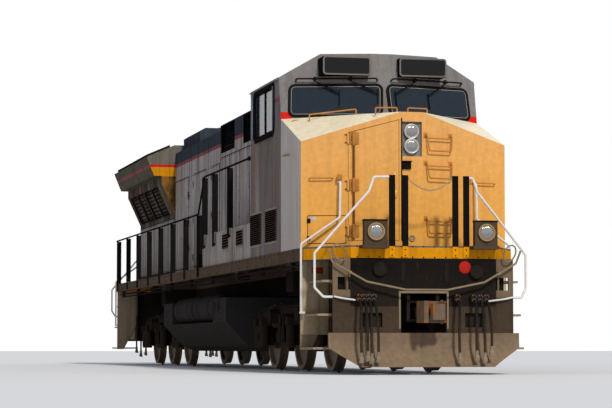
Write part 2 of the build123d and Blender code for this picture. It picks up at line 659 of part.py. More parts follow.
def equipment_boxes():
    """Closed cabinets along both sills, with the raised walkway as their lid."""
    boxes = []
    for side in (-1, 1):
        box = block((side * HOOD_HALF, side * (BODY_HALF - 10)), (CAB_REAR, RAISED_REAR), (DECK_Z, RAISED_Z))
        boxes.append(box)
        steps = [block((side * HOOD_HALF, side * (BODY_HALF - 40)), (RAISED_REAR, RAISED_REAR + 260), (DECK_Z, 1990)),
                 block((side * HOOD_HALF, side * (BODY_HALF - 40)), (RAISED_REAR, RAISED_REAR + 130), (1990, 2180))]
        boxes[-1] = join([box] + steps)
    return boxes


def louvre_panels():
    """Louvred panels seated on the cabinets and on the cab's lower side."""
    panels = []
    for side in (-1, 1):
        for front, rear, low, high, slats in LOUVRES:
            face = BODY_HALF if rear < CAB_REAR else BODY_HALF - 10
            plate = block((side * face, side * (face + 6)), (front - 40, rear + 40), (low - 40, high + 40))
            bars = [plate]
            pitch = (high - low) / slats
            for number in range(slats):
                z = low + number * pitch
                bars.append(prism_y([(side * (face + 5), z), (side * (face + 22), z + 2),
                                     (side * (face + 5), z + pitch * 0.7)], front, rear))
            panels.append(join(bars))
    return panels


# Fuel tank and air reservoirs
TANK_Y = (-3200.0, 3500.0)
TANK_TOP = 1230.0
TANK_BOTTOM = 310.0
RESERVOIR_RADIUS = 235.0
RESERVOIR_Z = 1080.0
RESERVOIRS_Y = ((-1850.0, 150.0), (330.0, 2330.0))
NOTCH_Y = (-1950.0, 2450.0)


def fuel_tank():
    outline = [(-1440, 820), (-1440, TANK_TOP), (1440, TANK_TOP), (1440, 820), (1040, 400), (820, TANK_BOTTOM),
               (-820, TANK_BOTTOM), (-1040, 400)]
    body = prism_y(outline, *TANK_Y)
    body = fillet(body.edges().filter_by(Axis.Y).filter_by(lambda edge: edge.center().Z < 450), 60)
    for side in (-1, 1):
        body = body - block((side * 960, side * 1500), NOTCH_Y, (820, TANK_TOP + 10))
    hanger = [block((-900, 900), (y - 60, y + 60), (TANK_TOP, CENTRE_SILL_BOTTOM)) for y in (-2500, 2800)]
    return join([body] + hanger)


def reservoirs():
    tanks = []
    for side in (-1, 1):
        for y0, y1 in RESERVOIRS_Y:
            tank = Pos(side * 1210, (y0 + y1) / 2, RESERVOIR_Z) * Rot(90, 0, 0) * Cylinder(RESERVOIR_RADIUS, y1 - y0)
            ends = tank.edges().filter_by(GeomType.CIRCLE)
            tank = fillet(ends, 90)
            straps = [Pos(side * 1210, y, RESERVOIR_Z) * Rot(90, 0, 0)
                      * (Cylinder(RESERVOIR_RADIUS + 10, 60) - Cylinder(RESERVOIR_RADIUS - 5, 62))
                      for y in (y0 + 450, y1 - 450)]
            feet = [block((side * 1150, side * 1270), (y - 30, y + 30), (820, RESERVOIR_Z - RESERVOIR_RADIUS + 20))
                    for y in (y0 + 450, y1 - 450)]
            tanks.append(join([tank] + straps + feet))
    return tanks


# Couplers

def coupler():
    """Shank and head with a guard arm; the knuckle is a piece of its own."""
    face = -LENGTH / 2
    shank = block((-80, 80), (face + 420, COUPLER_PIVOT + 60),
                  (COUPLER_Z - 80, COUPLER_Z + 80))
    head = [(-150, face + 430), (-190, face + 250), (-150, face + 20), (-95, face), (-75, face + 130),
            (-10, face + 190), (95, face + 200), (95, face + 430)]
    body = prism_z(head, COUPLER_Z - 150, COUPLER_Z + 150)
    lug = prism_z([(95, face + 205), (170, face + 110), (215, face + 190), (170, face + 330), (95, face + 400)],
                  COUPLER_Z - 150, COUPLER_Z + 150)
    slot = block((60, 260), (face - 10, face + 345), (COUPLER_Z - 118, COUPLER_Z + 118))
    body = join([shank, body, lug]) - slot
    body = body - Pos(0, COUPLER_PIVOT, COUPLER_Z) * Cylinder(PIVOT_RADIUS + 0.05, 400)
    pin_hole = Pos(150, face + 200, COUPLER_Z) * Cylinder(21.05, 400)
    body = body - pin_hole
    blade = prism_z([(95, face + 70), (-20, face + 30), (-45, face + 75), (20, face + 120), (60, face + 190),
                     (75, face + 230), (180, face + 250), (195, face + 150), (160, face + 70)],
                    COUPLER_Z - 112, COUPLER_Z + 112)
    pin = Pos(150, face + 200, COUPLER_Z) * Cylinder(21.0, 330)
    return body, blade + pin


# Lamps, number boards, awnings
def number_boards():
    boards = []
    for x0, x1 in ((-950.0, -230.0), (230.0, 950.0)):
        board = block((x0, x1), (CAB_FRONT + 60, CAB_FRONT + 420), (4450, 4720))
        boards.append(board - cab_body(0))
    return boards


RAIL_POSTS = (
    # y, top, foot, half width of what carries the foot
    (-4000.0, RAISED_RAIL_Z, 2200.0, BODY_HALF - 10),
    (-2600.0, RAISED_RAIL_Z, 2120.0, BODY_HALF - 10),
    (-1600.0, RAISED_RAIL_Z, 2120.0, BODY_HALF - 10),
    (-1050.0, LOW_RAIL_Z, SILL_BOTTOM + 20, SILL_HALF),
    (400.0, LOW_RAIL_Z, SILL_BOTTOM + 20, SILL_HALF),
    (1900.0, LOW_RAIL_Z, SILL_BOTTOM + 20, SILL_HALF),
    (3400.0, LOW_RAIL_Z, SILL_BOTTOM + 20, SILL_HALF),
    (4900.0, LOW_RAIL_Z, SILL_BOTTOM + 20, SILL_HALF),
    (6400.0, LOW_RAIL_Z, SILL_BOTTOM + 20, SILL_HALF),
    (7900.0, LOW_RAIL_Z, SILL_BOTTOM + 20, SILL_HALF),
    (9400.0, LOW_RAIL_Z, SILL_BOTTOM + 20, SILL_HALF),
)


def handrails():
    """Side handrails on flat stanchions, one solid a side."""
    rails = []
    for side in (-1, 1):
        x = side * (RAIL_HALF + 12)
        path = [(x, CAB_REAR, RAISED_RAIL_Z), (x, -1720, RAISED_RAIL_Z), (x, -1120, LOW_RAIL_Z),
                (x, DECK_END, LOW_RAIL_Z)]
        solids = [pipe(path, HANDRAIL_RADIUS, 120)]
        solids.append(block((side * 1490, x + side * 12), (CAB_REAR, CAB_REAR + 10), (RAISED_RAIL_Z - 35, RAISED_RAIL_Z + 35)))
        for y, top, foot, carrier in RAIL_POSTS:
            solids.append(block((x - 12, x + 12), (y - 40, y + 40), (foot, top)))
            solids.append(block((side * carrier, x), (y - 25, y + 25), (foot + 20, foot + 60)))
        rails.append(join(solids))
    return rails


hood_grid, grid_screens = grid_hood()
write("brake_grid_hood", hood_grid)
write("brake_grid_screens", *grid_screens)
hood, hood_doors = engine_hood()
write("engine_hood", hood)
for number, door in enumerate(hood_doors):
    count = len(HOOD_DOOR_STARTS)
    write("hood_door_%s_%d" % ("right" if number < count else "left", number % count + 1), door)
write("exhaust_hump", hump())
write("radiator_housing", radiator_housing())
write("radiator_grilles", *grille_panels())
write("radiator_cores", *radiator_roof())
write("equipment_boxes", *equipment_boxes())
write("louvre_panels", *louvre_panels())
write("fuel_tank", fuel_tank())
write("air_reservoirs", *reservoirs())
coupler_body, knuckle = coupler()
write("coupler_front", coupler_body)
write("knuckle_front", knuckle)
write("coupler_rear", Rot(0, 0, 180) * coupler_body)
write("knuckle_rear", Rot(0, 0, 180) * knuckle)
write("number_boards", *number_boards())
write("side_handrails", *handrails())
write("engine_block", block((-650, 650), (150, 4950), (DECK_Z, 3600)))


# End handrails, cut levers and air hoses, made for the front and turned for the rear
STANCHIONS_X = (-460.0, -270.0, 460.0, 620.0)
END_RAIL_TOP = 2790.0


def end_rails():
    """White corner handrails, flat stanchions and the chain's place between them."""
    front = -PLATFORM_END
    posts = [block((x - 42, x + 42), (front - 14, front), (SILL_BOTTOM + 20, END_RAIL_TOP)) for x in STANCHIONS_X]
    solids = [join([post]) for post in posts]
    for side in (-1, 1):
        rear_path = [(side * 1010, -9672, 2745), (side * 1010, -9785, 2745), (side * 1020, -9785, 2230),
                     (side * 1557, -9650, 1850), (side * 1557, -9650, 860)]
        rear = pipe(rear_path, HANDRAIL_RADIUS, 50)
        lug = block((side * SILL_HALF, side * 1557), (-9665, -9635), (1680, 1720))
        foot = block((side * 1500, side * 1557), (-9660, -DECK_END - 30), (860, 890))
        solids.append(join([rear - nose_body(0), lug, foot]))
        start = -460 - 42 if side < 0 else 620 + 42
        path = [(start, front - 7, END_RAIL_TOP - 25), (side * 720, front - 7, END_RAIL_TOP - 30),
                (side * 790, front - 7, 2560), (side * 1540, -10440, 1690), (side * 1540, -10440, 1210),
                (side * 1440, -10550, 1080), (side * PILOT_HALF, -10550, 1080)]
        rail = pipe(path, HANDRAIL_RADIUS, 40)
        post = solids[0] if side < 0 else solids[3]
        if side < 0:
            solids[0] = post + rail
        else:
            solids[3] = post + rail
    return solids


def cut_lever():
    """Uncoupling rod across the pilot, with its two end loops and brackets."""
    y0 = -PLATFORM_END - 70
    path = [(-1400, y0, 1740), (-1330, y0, 1560), (-850, y0 - 50, 1290), (-300, y0 - 90, 1180),
            (300, y0 - 90, 1180), (850, y0 - 50, 1290), (1330, y0, 1560), (1400, y0, 1740)]
    lever = pipe(path, 14, 60)
    brackets = [block((x - 15, x + 15), (y0 - 35, -PLATFORM_END), (1400, 1440)) for x in (-1080, 1080)]
    return join([lever] + brackets)


HOSE_RADIUS = 19.0
HOSE_PLACES = (
    # x, sideways drift, reach of the lower end, depth of the end
    (-960.0, -14.0, 0.0, 300.0),
    (-890.0, 10.0, 14.0, 320.0),
    (-820.0, -8.0, 4.0, 290.0),
    (-750.0, 22.0, 10.0, 310.0),
    (460.0, -30.0, 6.0, 300.0),
    (700.0, -18.0, 0.0, 330.0),
    (790.0, 12.0, 12.0, 300.0),
    (880.0, 26.0, 4.0, 390.0),
)
HOSE_TOP = 1050.0


def hose_route(x, drift, reach, low):
    """Control points of one hanging hose, from its fitting on the manifold to its glad hand."""
    y = -PLATFORM_END
    drop = HOSE_TOP - low
    return [
        (x, y - 120, HOSE_TOP - 15), (x, y - 180, HOSE_TOP - 45), (x + drift * 0.2, y - 240, HOSE_TOP - drop * 0.19),
        (x + drift * 0.6, y - 268, HOSE_TOP - drop * 0.42), (x + drift, y - 282 - reach, HOSE_TOP - drop * 0.70),
        (x + drift * 0.8, y - 287 - reach, low),
    ]


def hose_radii(points):
    """The largest arc that each corner's two runs allow."""
    radii = []
    for a, b, c in zip(points, points[1:], points[2:]):
        before, after = Vector(*b) - Vector(*a), Vector(*c) - Vector(*b)
        turn = math.radians(before.get_angle(after))
        radii.append(0.45 * min(before.length, after.length) / math.tan(turn / 2))
    return radii


def air_hoses():
    """Hanging hoses with their fittings and glad hands."""
    hoses, hands = [], []
    manifolds = [block((x0, x1), (-PLATFORM_END - 80, -PLATFORM_END), (HOSE_TOP - 45, HOSE_TOP + 45))
                 for x0, x1 in ((-1000, -710), (420, 500), (660, 920))]
    for x, drift, reach, low in HOSE_PLACES:
        points = hose_route(x, drift, reach, low)
        radii = hose_radii(points)
        path = FilletPolyline(*points, radius=radii)
        tube = sweep(Plane(path @ 0, z_dir=path % 0) * Circle(HOSE_RADIUS), path=path)
        print("hose at", x, "least radius", round(min(radii)), "length", round(path.length),
              "volume ratio", round(tube.volume / (math.pi * HOSE_RADIUS ** 2 * path.length), 4))
        hoses.append(tube)
        start, aim = path @ 0, path % 0
        fitting = extrude(Plane(start - aim * 60, z_dir=aim) * Circle(26), amount=60)
        manifolds.append(fitting)
        end, aim = path @ 1, path % 1
        shank = extrude(Plane(end, z_dir=aim) * Circle(23), amount=60)
        head = extrude(Plane(end + aim * 60, z_dir=aim) * Rectangle(60, 50), amount=90)
        hands.append(shank + head)
    pieces = [manifolds[0], manifolds[1], manifolds[2]]
    for fitting, (x, *_rest) in zip(manifolds[3:], HOSE_PLACES):
        slot = 0 if x < 0 else (1 if x < 600 else 2)
        pieces[slot] = pieces[slot] + fitting
    return hoses, pieces, hands


rails = end_rails()
write("end_rails_front", *rails)
turned = [Rot(0, 0, 180) * rail for rail in rails]
write("end_rails_rear", *turned)
lever = cut_lever()
write("cut_lever_front", lever)
write("cut_lever_rear", Rot(0, 0, 180) * lever)
hoses, manifolds, hands = air_hoses()
platform = join([end_platform()] + manifolds)
for name, turn in (("front", 0), ("rear", 180)):
    write("end_platform_" + name, Rot(0, 0, turn) * platform)
    write("air_hoses_" + name, *[Rot(0, 0, turn) * solid for solid in hoses])
    write("glad_hands_" + name, *[Rot(0, 0, turn) * solid for solid in hands])


# Lamps, horn, awnings and cab fittings
def lamp(x, y, z, radius, depth=60):
    return rod((x, y, z), (x, y + depth, z), radius)


def headlight():
    body = block((-HEADLIGHT_HALF, HEADLIGHT_HALF), (NOSE_FRONT + 45, NOSE_FRONT + SHEET), HEADLIGHT_Z)
    lamps = [lamp(0, NOSE_FRONT + 8, z, 95, 40) for z in (3265.0, 3470.0)]
    return join([body] + lamps)


def ditch_lights():
    lights = []
    for x in (-740.0, 860.0):
        shelf = block((x - 190, x + 190), (-PLATFORM_END - 200, -PLATFORM_END), (1755, 1800))
        housing = block((x - 165, x + 165), (-PLATFORM_END - 190, -PLATFORM_END - 90), (1800, 2140))
        bulb = lamp(x, -PLATFORM_END - 215, 1985, 105, 30)
        lights.append(join([shelf, housing, bulb]))
    return lights


def awnings():
    pieces = []
    for side in (-1, 1):
        pieces.append(prism_y([(side * BODY_HALF, 4420), (side * (BODY_HALF + 30), 4400), (side * (BODY_HALF + 30), 4425),
                               (side * BODY_HALF, 4450)], -7900, -5850))
    return pieces


def cab_fittings():
    """Two seats on pedestals and the driver's console, on the cab floor."""
    solids = []
    for x in (-900.0, 900.0):
        column = Pos(x, -7000, CAB_FLOOR_Z + 150) * Cylinder(70, 300)
        cushion = block((x - 240, x + 240), (-7240, -6760), (CAB_FLOOR_Z + 300, CAB_FLOOR_Z + 420))
        back = block((x - 230, x + 230), (-6800, -6690), (CAB_FLOOR_Z + 420, CAB_FLOOR_Z + 1250))
        solids.append(join([column, cushion, back]))
    console = prism_x([(-7600, CAB_FLOOR_Z), (-7600, CAB_FLOOR_Z + 1050), (-7750, CAB_FLOOR_Z + 1150),
                       (-7900, CAB_FLOOR_Z + 1150), (-7900, CAB_FLOOR_Z)], -1300, 1300)
    return solids, console


write("front_lamps", headlight(), *ditch_lights())
write("window_awnings", *awnings())
seats, console = cab_fittings()
write("cab_fittings", console, *seats)
horn = [block((-150, 150), (-4700, -4500), (GRID_Z, GRID_Z + 60))]
horn += [rod((x, -4900, GRID_Z + 100), (x, -4550, GRID_Z + 100), 45) for x in (-95, 0, 95)]
write("horn", join(horn + [block((-120, 120), (-4640, -4560), (GRID_Z + 50, GRID_Z + 100))]))
print("nodes", len(written))
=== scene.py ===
"""Six-axle diesel freight locomotive: its finishes, trim and hoses, with the light, floor and camera.

The front faces -Y. Metres throughout.
"""
import json
import math

import bpy
from mathutils import Euler, Matrix, Vector


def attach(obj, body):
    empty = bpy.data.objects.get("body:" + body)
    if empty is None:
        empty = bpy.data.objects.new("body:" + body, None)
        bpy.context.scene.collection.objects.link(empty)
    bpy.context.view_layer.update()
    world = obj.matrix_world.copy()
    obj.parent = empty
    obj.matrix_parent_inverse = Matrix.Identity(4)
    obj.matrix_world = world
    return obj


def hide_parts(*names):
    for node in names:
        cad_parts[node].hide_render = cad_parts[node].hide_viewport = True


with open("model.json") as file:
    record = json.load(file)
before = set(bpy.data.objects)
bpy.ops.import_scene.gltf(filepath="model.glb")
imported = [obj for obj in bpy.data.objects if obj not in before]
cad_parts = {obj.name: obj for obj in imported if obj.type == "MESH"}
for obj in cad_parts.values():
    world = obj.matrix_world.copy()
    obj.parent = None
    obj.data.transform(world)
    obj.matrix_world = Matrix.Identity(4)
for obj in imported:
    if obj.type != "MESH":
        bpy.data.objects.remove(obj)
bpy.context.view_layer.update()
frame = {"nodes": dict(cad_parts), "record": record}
nodes = frame["nodes"]

# Camera, fitted to the photograph
CAMERA_PLACE = (-8.57, -41.32, 0.377)
CAMERA_YAW = math.radians(12.61)
CAMERA_PITCH = math.radians(3.61)
CAMERA_LENS = 133.8


def add_camera():
    """A long lens from beyond the front's right corner, near the ground."""
    data = bpy.data.cameras.new("camera")
    data.lens = CAMERA_LENS
    data.sensor_width = 36.0
    data.clip_end = 400.0
    camera = bpy.data.objects.new("camera", data)
    camera.location = CAMERA_PLACE
    camera.rotation_euler = Euler((math.pi / 2 + CAMERA_PITCH, 0, -CAMERA_YAW))
    bpy.context.scene.collection.objects.link(camera)
    bpy.context.scene.camera = camera


add_camera()


# Modelling
def alone(piece):
    """Selects one piece and nothing else."""
    bpy.ops.object.select_all(action="DESELECT")
    piece.select_set(True)
    bpy.context.view_layer.objects.active = piece


def settle(piece):
    """Works place, turn and size into the mesh, so the piece sits at the origin."""
    alone(piece)
    bpy.ops.object.transform_apply(location=True, rotation=True, scale=True)
    return piece


def soften(piece, width, segments=2):
    """Rounds the sharp edges and shades the rest smooth."""
    edges = piece.modifiers.new("edges", "BEVEL")
    edges.width = width
    edges.segments = segments
    edges.limit_method = "ANGLE"
    alone(piece)
    bpy.ops.object.modifier_apply(modifier=edges.name)
    bpy.ops.object.shade_smooth_by_angle(angle=math.radians(35))
    return piece


def slab(name, low, high, edge=0.003, segments=2):
    """A block between two corners with rounded edges."""
    bpy.ops.object.select_all(action="DESELECT")
    middle = [(a + b) / 2 for a, b in zip(low, high)]
    bpy.ops.mesh.primitive_cube_add(size=1.0, location=middle)
    piece = bpy.context.object
    piece.name = name
    piece.scale = [b - a for a, b in zip(low, high)]
    settle(piece)
    return soften(piece, edge, segments) if edge else piece


def side_slab(name, side, xs, ys, zs, edge=0.003):
    """A block given by its reaches on the left side (1), or mirrored to the right (-1)."""
    low, high = sorted((side * xs[0], side * xs[1]))
    return slab(name, (low, ys[0], zs[0]), (high, ys[1], zs[1]), edge)


def drum(name, start, end, radius, sides=24, edge=0.002, top=None):
    """A round bar, disc or cone between two points."""
    start, end = Vector(start), Vector(end)
    along = end - start
    bpy.ops.object.select_all(action="DESELECT")
    bpy.ops.mesh.primitive_cone_add(vertices=sides, radius1=radius, radius2=radius if top is None else top,
                                    depth=along.length, location=(start + end) / 2,
                                    rotation=along.to_track_quat("Z", "Y").to_euler())
    piece = bpy.context.object
    piece.name = name
    settle(piece)
    return soften(piece, edge) if edge else piece


def ring(name, middle, axis, radius, wire, sides=28, wire_sides=8):
    """A round ring of wire."""
    bpy.ops.object.select_all(action="DESELECT")
    bpy.ops.mesh.primitive_torus_add(major_radius=radius, minor_radius=wire, major_segments=sides,
                                     minor_segments=wire_sides, location=middle,
                                     rotation=Vector(axis).to_track_quat("Z", "Y").to_euler())
    piece = bpy.context.object
    piece.name = name
    settle(piece)
    bpy.ops.object.shade_smooth()
    return piece


def bare_curve(name, kind, points):
    """A curve through the points, not yet given a thickness, and its line."""
    data = bpy.data.curves.new(name, "CURVE")
    data.dimensions = "3D"
    line = data.splines.new(kind)
    line.points.add(len(points) - 1)
    for point, where_to in zip(line.points, points):
        point.co = (*where_to, 1.0)
    piece = bpy.data.objects.new(name, data)
    bpy.context.scene.collection.objects.link(piece)
    return piece, line


def thicken(piece, radius, resolution):
    """Gives a curve a round section with closed ends."""
    piece.data.bevel_depth = radius
    piece.data.bevel_resolution = resolution
    piece.data.use_fill_caps = True


def wire(name, points, radius, closed=False):
    """A round rod bent along straight runs."""
    piece, line = bare_curve(name, "POLY", points)
    thicken(piece, radius, 1)
    line.use_cyclic_u = closed
    alone(piece)
    bpy.ops.object.convert(target="MESH")
    piece = bpy.context.object
    bpy.ops.object.shade_smooth_by_angle(angle=math.radians(50))
    return piece


def rounded(points, radius, steps=4):
    """A bent rod's points, with each corner turned in a few short runs."""
    points = [Vector(point) for point in points]
    bent = [points[0]]
    for before, corner, after in zip(points, points[1:], points[2:]):
        a = corner + (before - corner).normalized() * min(radius, (before - corner).length * 0.45)
        b = corner + (after - corner).normalized() * min(radius, (after - corner).length * 0.45)
        for step in range(steps + 1):
            t = step / steps
            bent.append(a.lerp(corner, t).lerp(corner.lerp(b, t), t))
    return bent + [points[-1]]


def one_piece(name, parts):
    """Several meshes joined into one piece."""
    bpy.ops.object.select_all(action="DESELECT")
    for part in parts:
        part.select_set(True)
    bpy.context.view_layer.objects.active = parts[0]
    if len(parts) > 1:
        bpy.ops.object.join()
    piece = bpy.context.object
    piece.name = name
    return piece


def moved(piece, matrix):
    """Moves a piece's mesh, and keeps its faces outward where the matrix mirrors."""
    piece.data.transform(matrix)
    if matrix.determinant() < 0:
        piece.data.flip_normals()
    return piece


def copy_to(pattern, name, matrix):
    """A copy with a mesh of its own, put in place by a matrix."""
    piece = moved(bpy.data.objects.new(name, pattern.data.copy()), matrix)
    bpy.context.scene.collection.objects.link(piece)
    return piece


def block_on(name, matrix, low, high, edge=0.003):
    """A block given along, up and out on a face."""
    return moved(slab(name, low, high, edge), matrix)


def bent(name, points, radius, bend=0.02):
    """A round rod through the points, turned softly at each corner."""
    return wire(name, rounded(points, bend), radius)


def bar_on(name, matrix, points, radius, bend=0.025):
    """A bent rod given along, up and out on a face."""
    return bent(name, [matrix @ Vector(point) for point in points], radius, bend)


def side_grip(name, side, xs, start, end, radius):
    """A handle on a side: reaches of its feet and of its bar, and the (y, z) of its two feet."""
    foot, bar = side * xs[0], side * xs[1]
    return bent(name, [(foot, *start), (bar, *start), (bar, *end), (foot, *end)], radius)


def round_corners(plate, axis, longer, width, segments):
    """Rounds the edges that run along an axis (0, 1, 2) for longer than a length."""
    weights = plate.data.attributes.new("bevel_weight_edge", "FLOAT", "EDGE")
    for edge in plate.data.edges:
        a, b = (plate.data.vertices[index].co for index in edge.vertices)
        weights.data[edge.index].value = float(abs(a[axis] - b[axis]) > longer)
    corners = plate.modifiers.new("corners", "BEVEL")
    corners.width, corners.segments, corners.limit_method, corners.affect = width, segments, "WEIGHT", "EDGES"
    alone(plate)
    bpy.ops.object.modifier_apply(modifier="corners")


def turned_back(piece, name):
    """The rear end's twin of a front piece, turned half round."""
    return copy_to(piece, name, Matrix.Rotation(math.pi, 4, "Z"))


def finish(piece, look, body="carbody"):
    """Gives a piece one of the finishes and its body."""
    material = FINISH[look]
    piece.data.materials.clear()
    piece.data.materials.append(material)
    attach(piece, body)
    return piece


def assemble(name, parts, look, body="carbody"):
    """Joins the parts into one finished piece."""
    return finish(one_piece(name, parts), look, body)


# Shader building
def place(tree, kind, inputs=None, **settings):
    """A node with its sockets and settings filled in."""
    made = tree.nodes.new(kind)
    for name, value in settings.items():
        setattr(made, name, value)
    for name, value in (inputs or {}).items():
        socket = made.inputs[name]
        if isinstance(value, bpy.types.NodeSocket):
            tree.links.new(value, socket)
        else:
            socket.default_value = value
    return made


def math_node(tree, operation, a, b=0.0, clamp=False):
    """One arithmetic step on masks or values."""
    made = place(tree, "ShaderNodeMath", {0: a, 1: b}, operation=operation, use_clamp=clamp)
    return made.outputs[0]


def ramp(tree, value, low, high, to_low=0.0, to_high=1.0):
    """A value stretched from one range to another and held at its ends."""
    made = place(tree, "ShaderNodeMapRange", {"Value": value, "From Min": low, "From Max": high,
                                              "To Min": to_low, "To Max": to_high}, clamp=True)
    return made.outputs[0]


def mix(tree, mask, a, b, **settings):
    """Colour a where the mask is 0 and colour b where it is 1."""
    return place(tree, "ShaderNodeMix", {0: mask, 6: a, 7: b}, data_type="RGBA", **settings).outputs[2]


def noise(tree, coordinates, scale, detail=4.0, roughness=0.55):
    """A soft random value over the surface."""
    made = place(tree, "ShaderNodeTexNoise", {"Vector": coordinates, "Scale": scale, "Detail": detail,
                                              "Roughness": roughness})
    return made.outputs["Fac"]


def here(tree):
    """The Object coordinates of the point being shaded."""
    return tree.nodes.new("ShaderNodeTexCoord").outputs["Object"]


def stretched(tree, coordinates, scale):
    """Coordinates drawn out along one axis, for drips and streaks."""
    return place(tree, "ShaderNodeMapping", {"Vector": coordinates, "Scale": scale}).outputs[0]


def rgb(red, green, blue):
    """A colour from its screen values, 0 to 255."""
    def linear(value):
        value /= 255
        return value / 12.92 if value <= 0.04045 else ((value + 0.055) / 1.055) ** 2.4
    return (linear(red), linear(green), linear(blue), 1.0)


def new_group(name, inputs, outputs):
    """An empty node group with its named sockets."""
    group = bpy.data.node_groups.new(name, "ShaderNodeTree")
    kinds = {"color": "NodeSocketColor", "value": "NodeSocketFloat", "vector": "NodeSocketVector"}
    for socket, kind in inputs:
        group.interface.new_socket(socket, in_out="INPUT", socket_type=kinds[kind])
    for socket, kind in outputs:
        group.interface.new_socket(socket, in_out="OUTPUT", socket_type=kinds[kind])
    return group, group.nodes.new("NodeGroupInput"), group.nodes.new("NodeGroupOutput")


def weather_group():
    """Road grime, vertical streaks, rust drips and dust that thickens towards the ground."""
    group, given, result = new_group(
        "weather",
        [("Paint", "color"), ("Grime Color", "color"), ("Grime", "value"), ("Streaks", "value"),
         ("Rust", "value"), ("Dust Color", "color"), ("Dust", "value"), ("Dust Height", "value")],
        [("Color", "color"), ("Roughness", "value"), ("Height", "value")])
    coordinates = here(group)
    height = place(group, "ShaderNodeSeparateXYZ", {0: coordinates}).outputs["Z"]
    broad = noise(group, coordinates, 0.9, 6.0, 0.6)
    fine = noise(group, coordinates, 14.0, 5.0, 0.65)
    drips = noise(group, stretched(group, coordinates, (9.0, 9.0, 0.45)), 1.0, 5.0, 0.6)
    thin_drips = noise(group, stretched(group, coordinates, (24.0, 24.0, 0.8)), 1.0, 3.0, 0.5)
    specks = noise(group, stretched(group, coordinates, (30.0, 30.0, 5.0)), 1.0, 4.0, 0.7)
    color = given.outputs["Paint"]
    soiled = math_node(group, "MULTIPLY", ramp(group, broad, 0.3, 0.72), given.outputs["Grime"])
    color = mix(group, soiled, color, given.outputs["Grime Color"])
    streak = math_node(group, "MULTIPLY", ramp(group, drips, 0.48, 0.66), given.outputs["Streaks"])
    dark = mix(group, 1.0, given.outputs["Grime Color"], (0.45, 0.42, 0.40, 1.0), blend_type="MULTIPLY")
    color = mix(group, streak, color, dark)
    spots = math_node(group, "MULTIPLY", ramp(group, specks, 0.62, 0.72), ramp(group, thin_drips, 0.45, 0.6))
    rust = math_node(group, "MULTIPLY", spots, given.outputs["Rust"])
    color = mix(group, rust, color, rgb(104, 58, 26))
    low = math_node(group, "DIVIDE", height, given.outputs["Dust Height"])
    settled = math_node(group, "MULTIPLY", ramp(group, low, 1.0, 0.25), given.outputs["Dust"])
    patchy = math_node(group, "MULTIPLY", settled, ramp(group, fine, 0.25, 0.65, 0.55, 1.0))
    color = mix(group, patchy, color, given.outputs["Dust Color"])
    shade = ramp(group, fine, 0.3, 0.7, 0.9, 1.08)
    toned = place(group, "ShaderNodeVectorMath", {0: color, "Scale": shade}, operation="SCALE").outputs[0]
    group.links.new(toned, result.inputs["Color"])
    rough = math_node(group, "ADD", math_node(group, "MULTIPLY", soiled, 0.3),
                      math_node(group, "MULTIPLY", patchy, 0.45))
    group.links.new(math_node(group, "ADD", rough, 0.36, clamp=True), result.inputs["Roughness"])
    group.links.new(math_node(group, "ADD", fine, math_node(group, "MULTIPLY", rust, 1.5)), result.inputs["Height"])
    return group


WEATHER = weather_group()
DUST = rgb(150, 128, 100)
SOOT = rgb(58, 52, 50)


def new_material(name, slot):
    """A material that keeps its slot, with its node tree and its Principled shader."""
    material = bpy.data.materials.new(name)
    material.use_nodes = True
    material["slot"] = slot
    tree = material.node_tree
    tree.nodes.clear()
    shader = tree.nodes.new("ShaderNodeBsdfPrincipled")
    output = tree.nodes.new("ShaderNodeOutputMaterial")
    tree.links.new(shader.outputs[0], output.inputs[0])
    return material, tree, shader


def weathered(name, slot, paint, grime, streaks, rust, dust, grime_color=SOOT, dust_height=1.9, dust_color=DUST,
              metallic=0.0, bump=0.15, specular=0.0):
    """A painted or bare metal finish, given as one colour or as a function that paints by place."""
    material, tree, shader = new_material(name, slot)
    color = paint(tree) if callable(paint) else paint
    weather = place(tree, "ShaderNodeGroup", {
        "Paint": color, "Grime Color": grime_color, "Grime": grime, "Streaks": streaks, "Rust": rust,
        "Dust Color": dust_color, "Dust": dust, "Dust Height": dust_height}, node_tree=WEATHER)
    tree.links.new(weather.outputs["Color"], shader.inputs["Base Color"])
    tree.links.new(weather.outputs["Roughness"], shader.inputs["Roughness"])
    relief = place(tree, "ShaderNodeBump", {"Strength": bump, "Distance": 0.004,
                                            "Height": weather.outputs["Height"]})
    tree.links.new(relief.outputs[0], shader.inputs["Normal"])
    shader.inputs["Metallic"].default_value = metallic
    shader.inputs["Specular IOR Level"].default_value = specular
    return material


def where(tree):
    """Object coordinates and the object-space normal, as separate values."""
    source = tree.nodes.new("ShaderNodeTexCoord")
    point = place(tree, "ShaderNodeSeparateXYZ", {0: source.outputs["Object"]}).outputs
    normal = place(tree, "ShaderNodeSeparateXYZ", {0: source.outputs["Normal"]}).outputs
    return point, normal


def above(tree, value, limit):
    return math_node(tree, "GREATER_THAN", value, limit)


def below(tree, value, limit):
    return math_node(tree, "LESS_THAN", value, limit)


def both(tree, a, b):
    return math_node(tree, "MULTIPLY", a, b)


YELLOW = rgb(232, 170, 96)
YELLOW_LOW = rgb(238, 170, 74)
CREAM = rgb(252, 238, 204)
CAB_GREY = rgb(134, 130, 128)
CAB_SIDE = rgb(124, 114, 112)
HOOD_SIDE = rgb(178, 170, 167)
# Painted shade: the radiator's low sides darkened as if in the shadow of the wing and posts.
RADIATOR_SIDE_SHADE = rgb(74, 66, 58)
SIDE_TAN = rgb(142, 98, 50)
STRIPE_RED = rgb(216, 40, 28)
OLD_RED = rgb(150, 84, 92)
BAND_YELLOW = rgb(228, 150, 8)
WING_OLIVE = rgb(96, 92, 78)
STRIPE_Z = (4.08, 4.145)


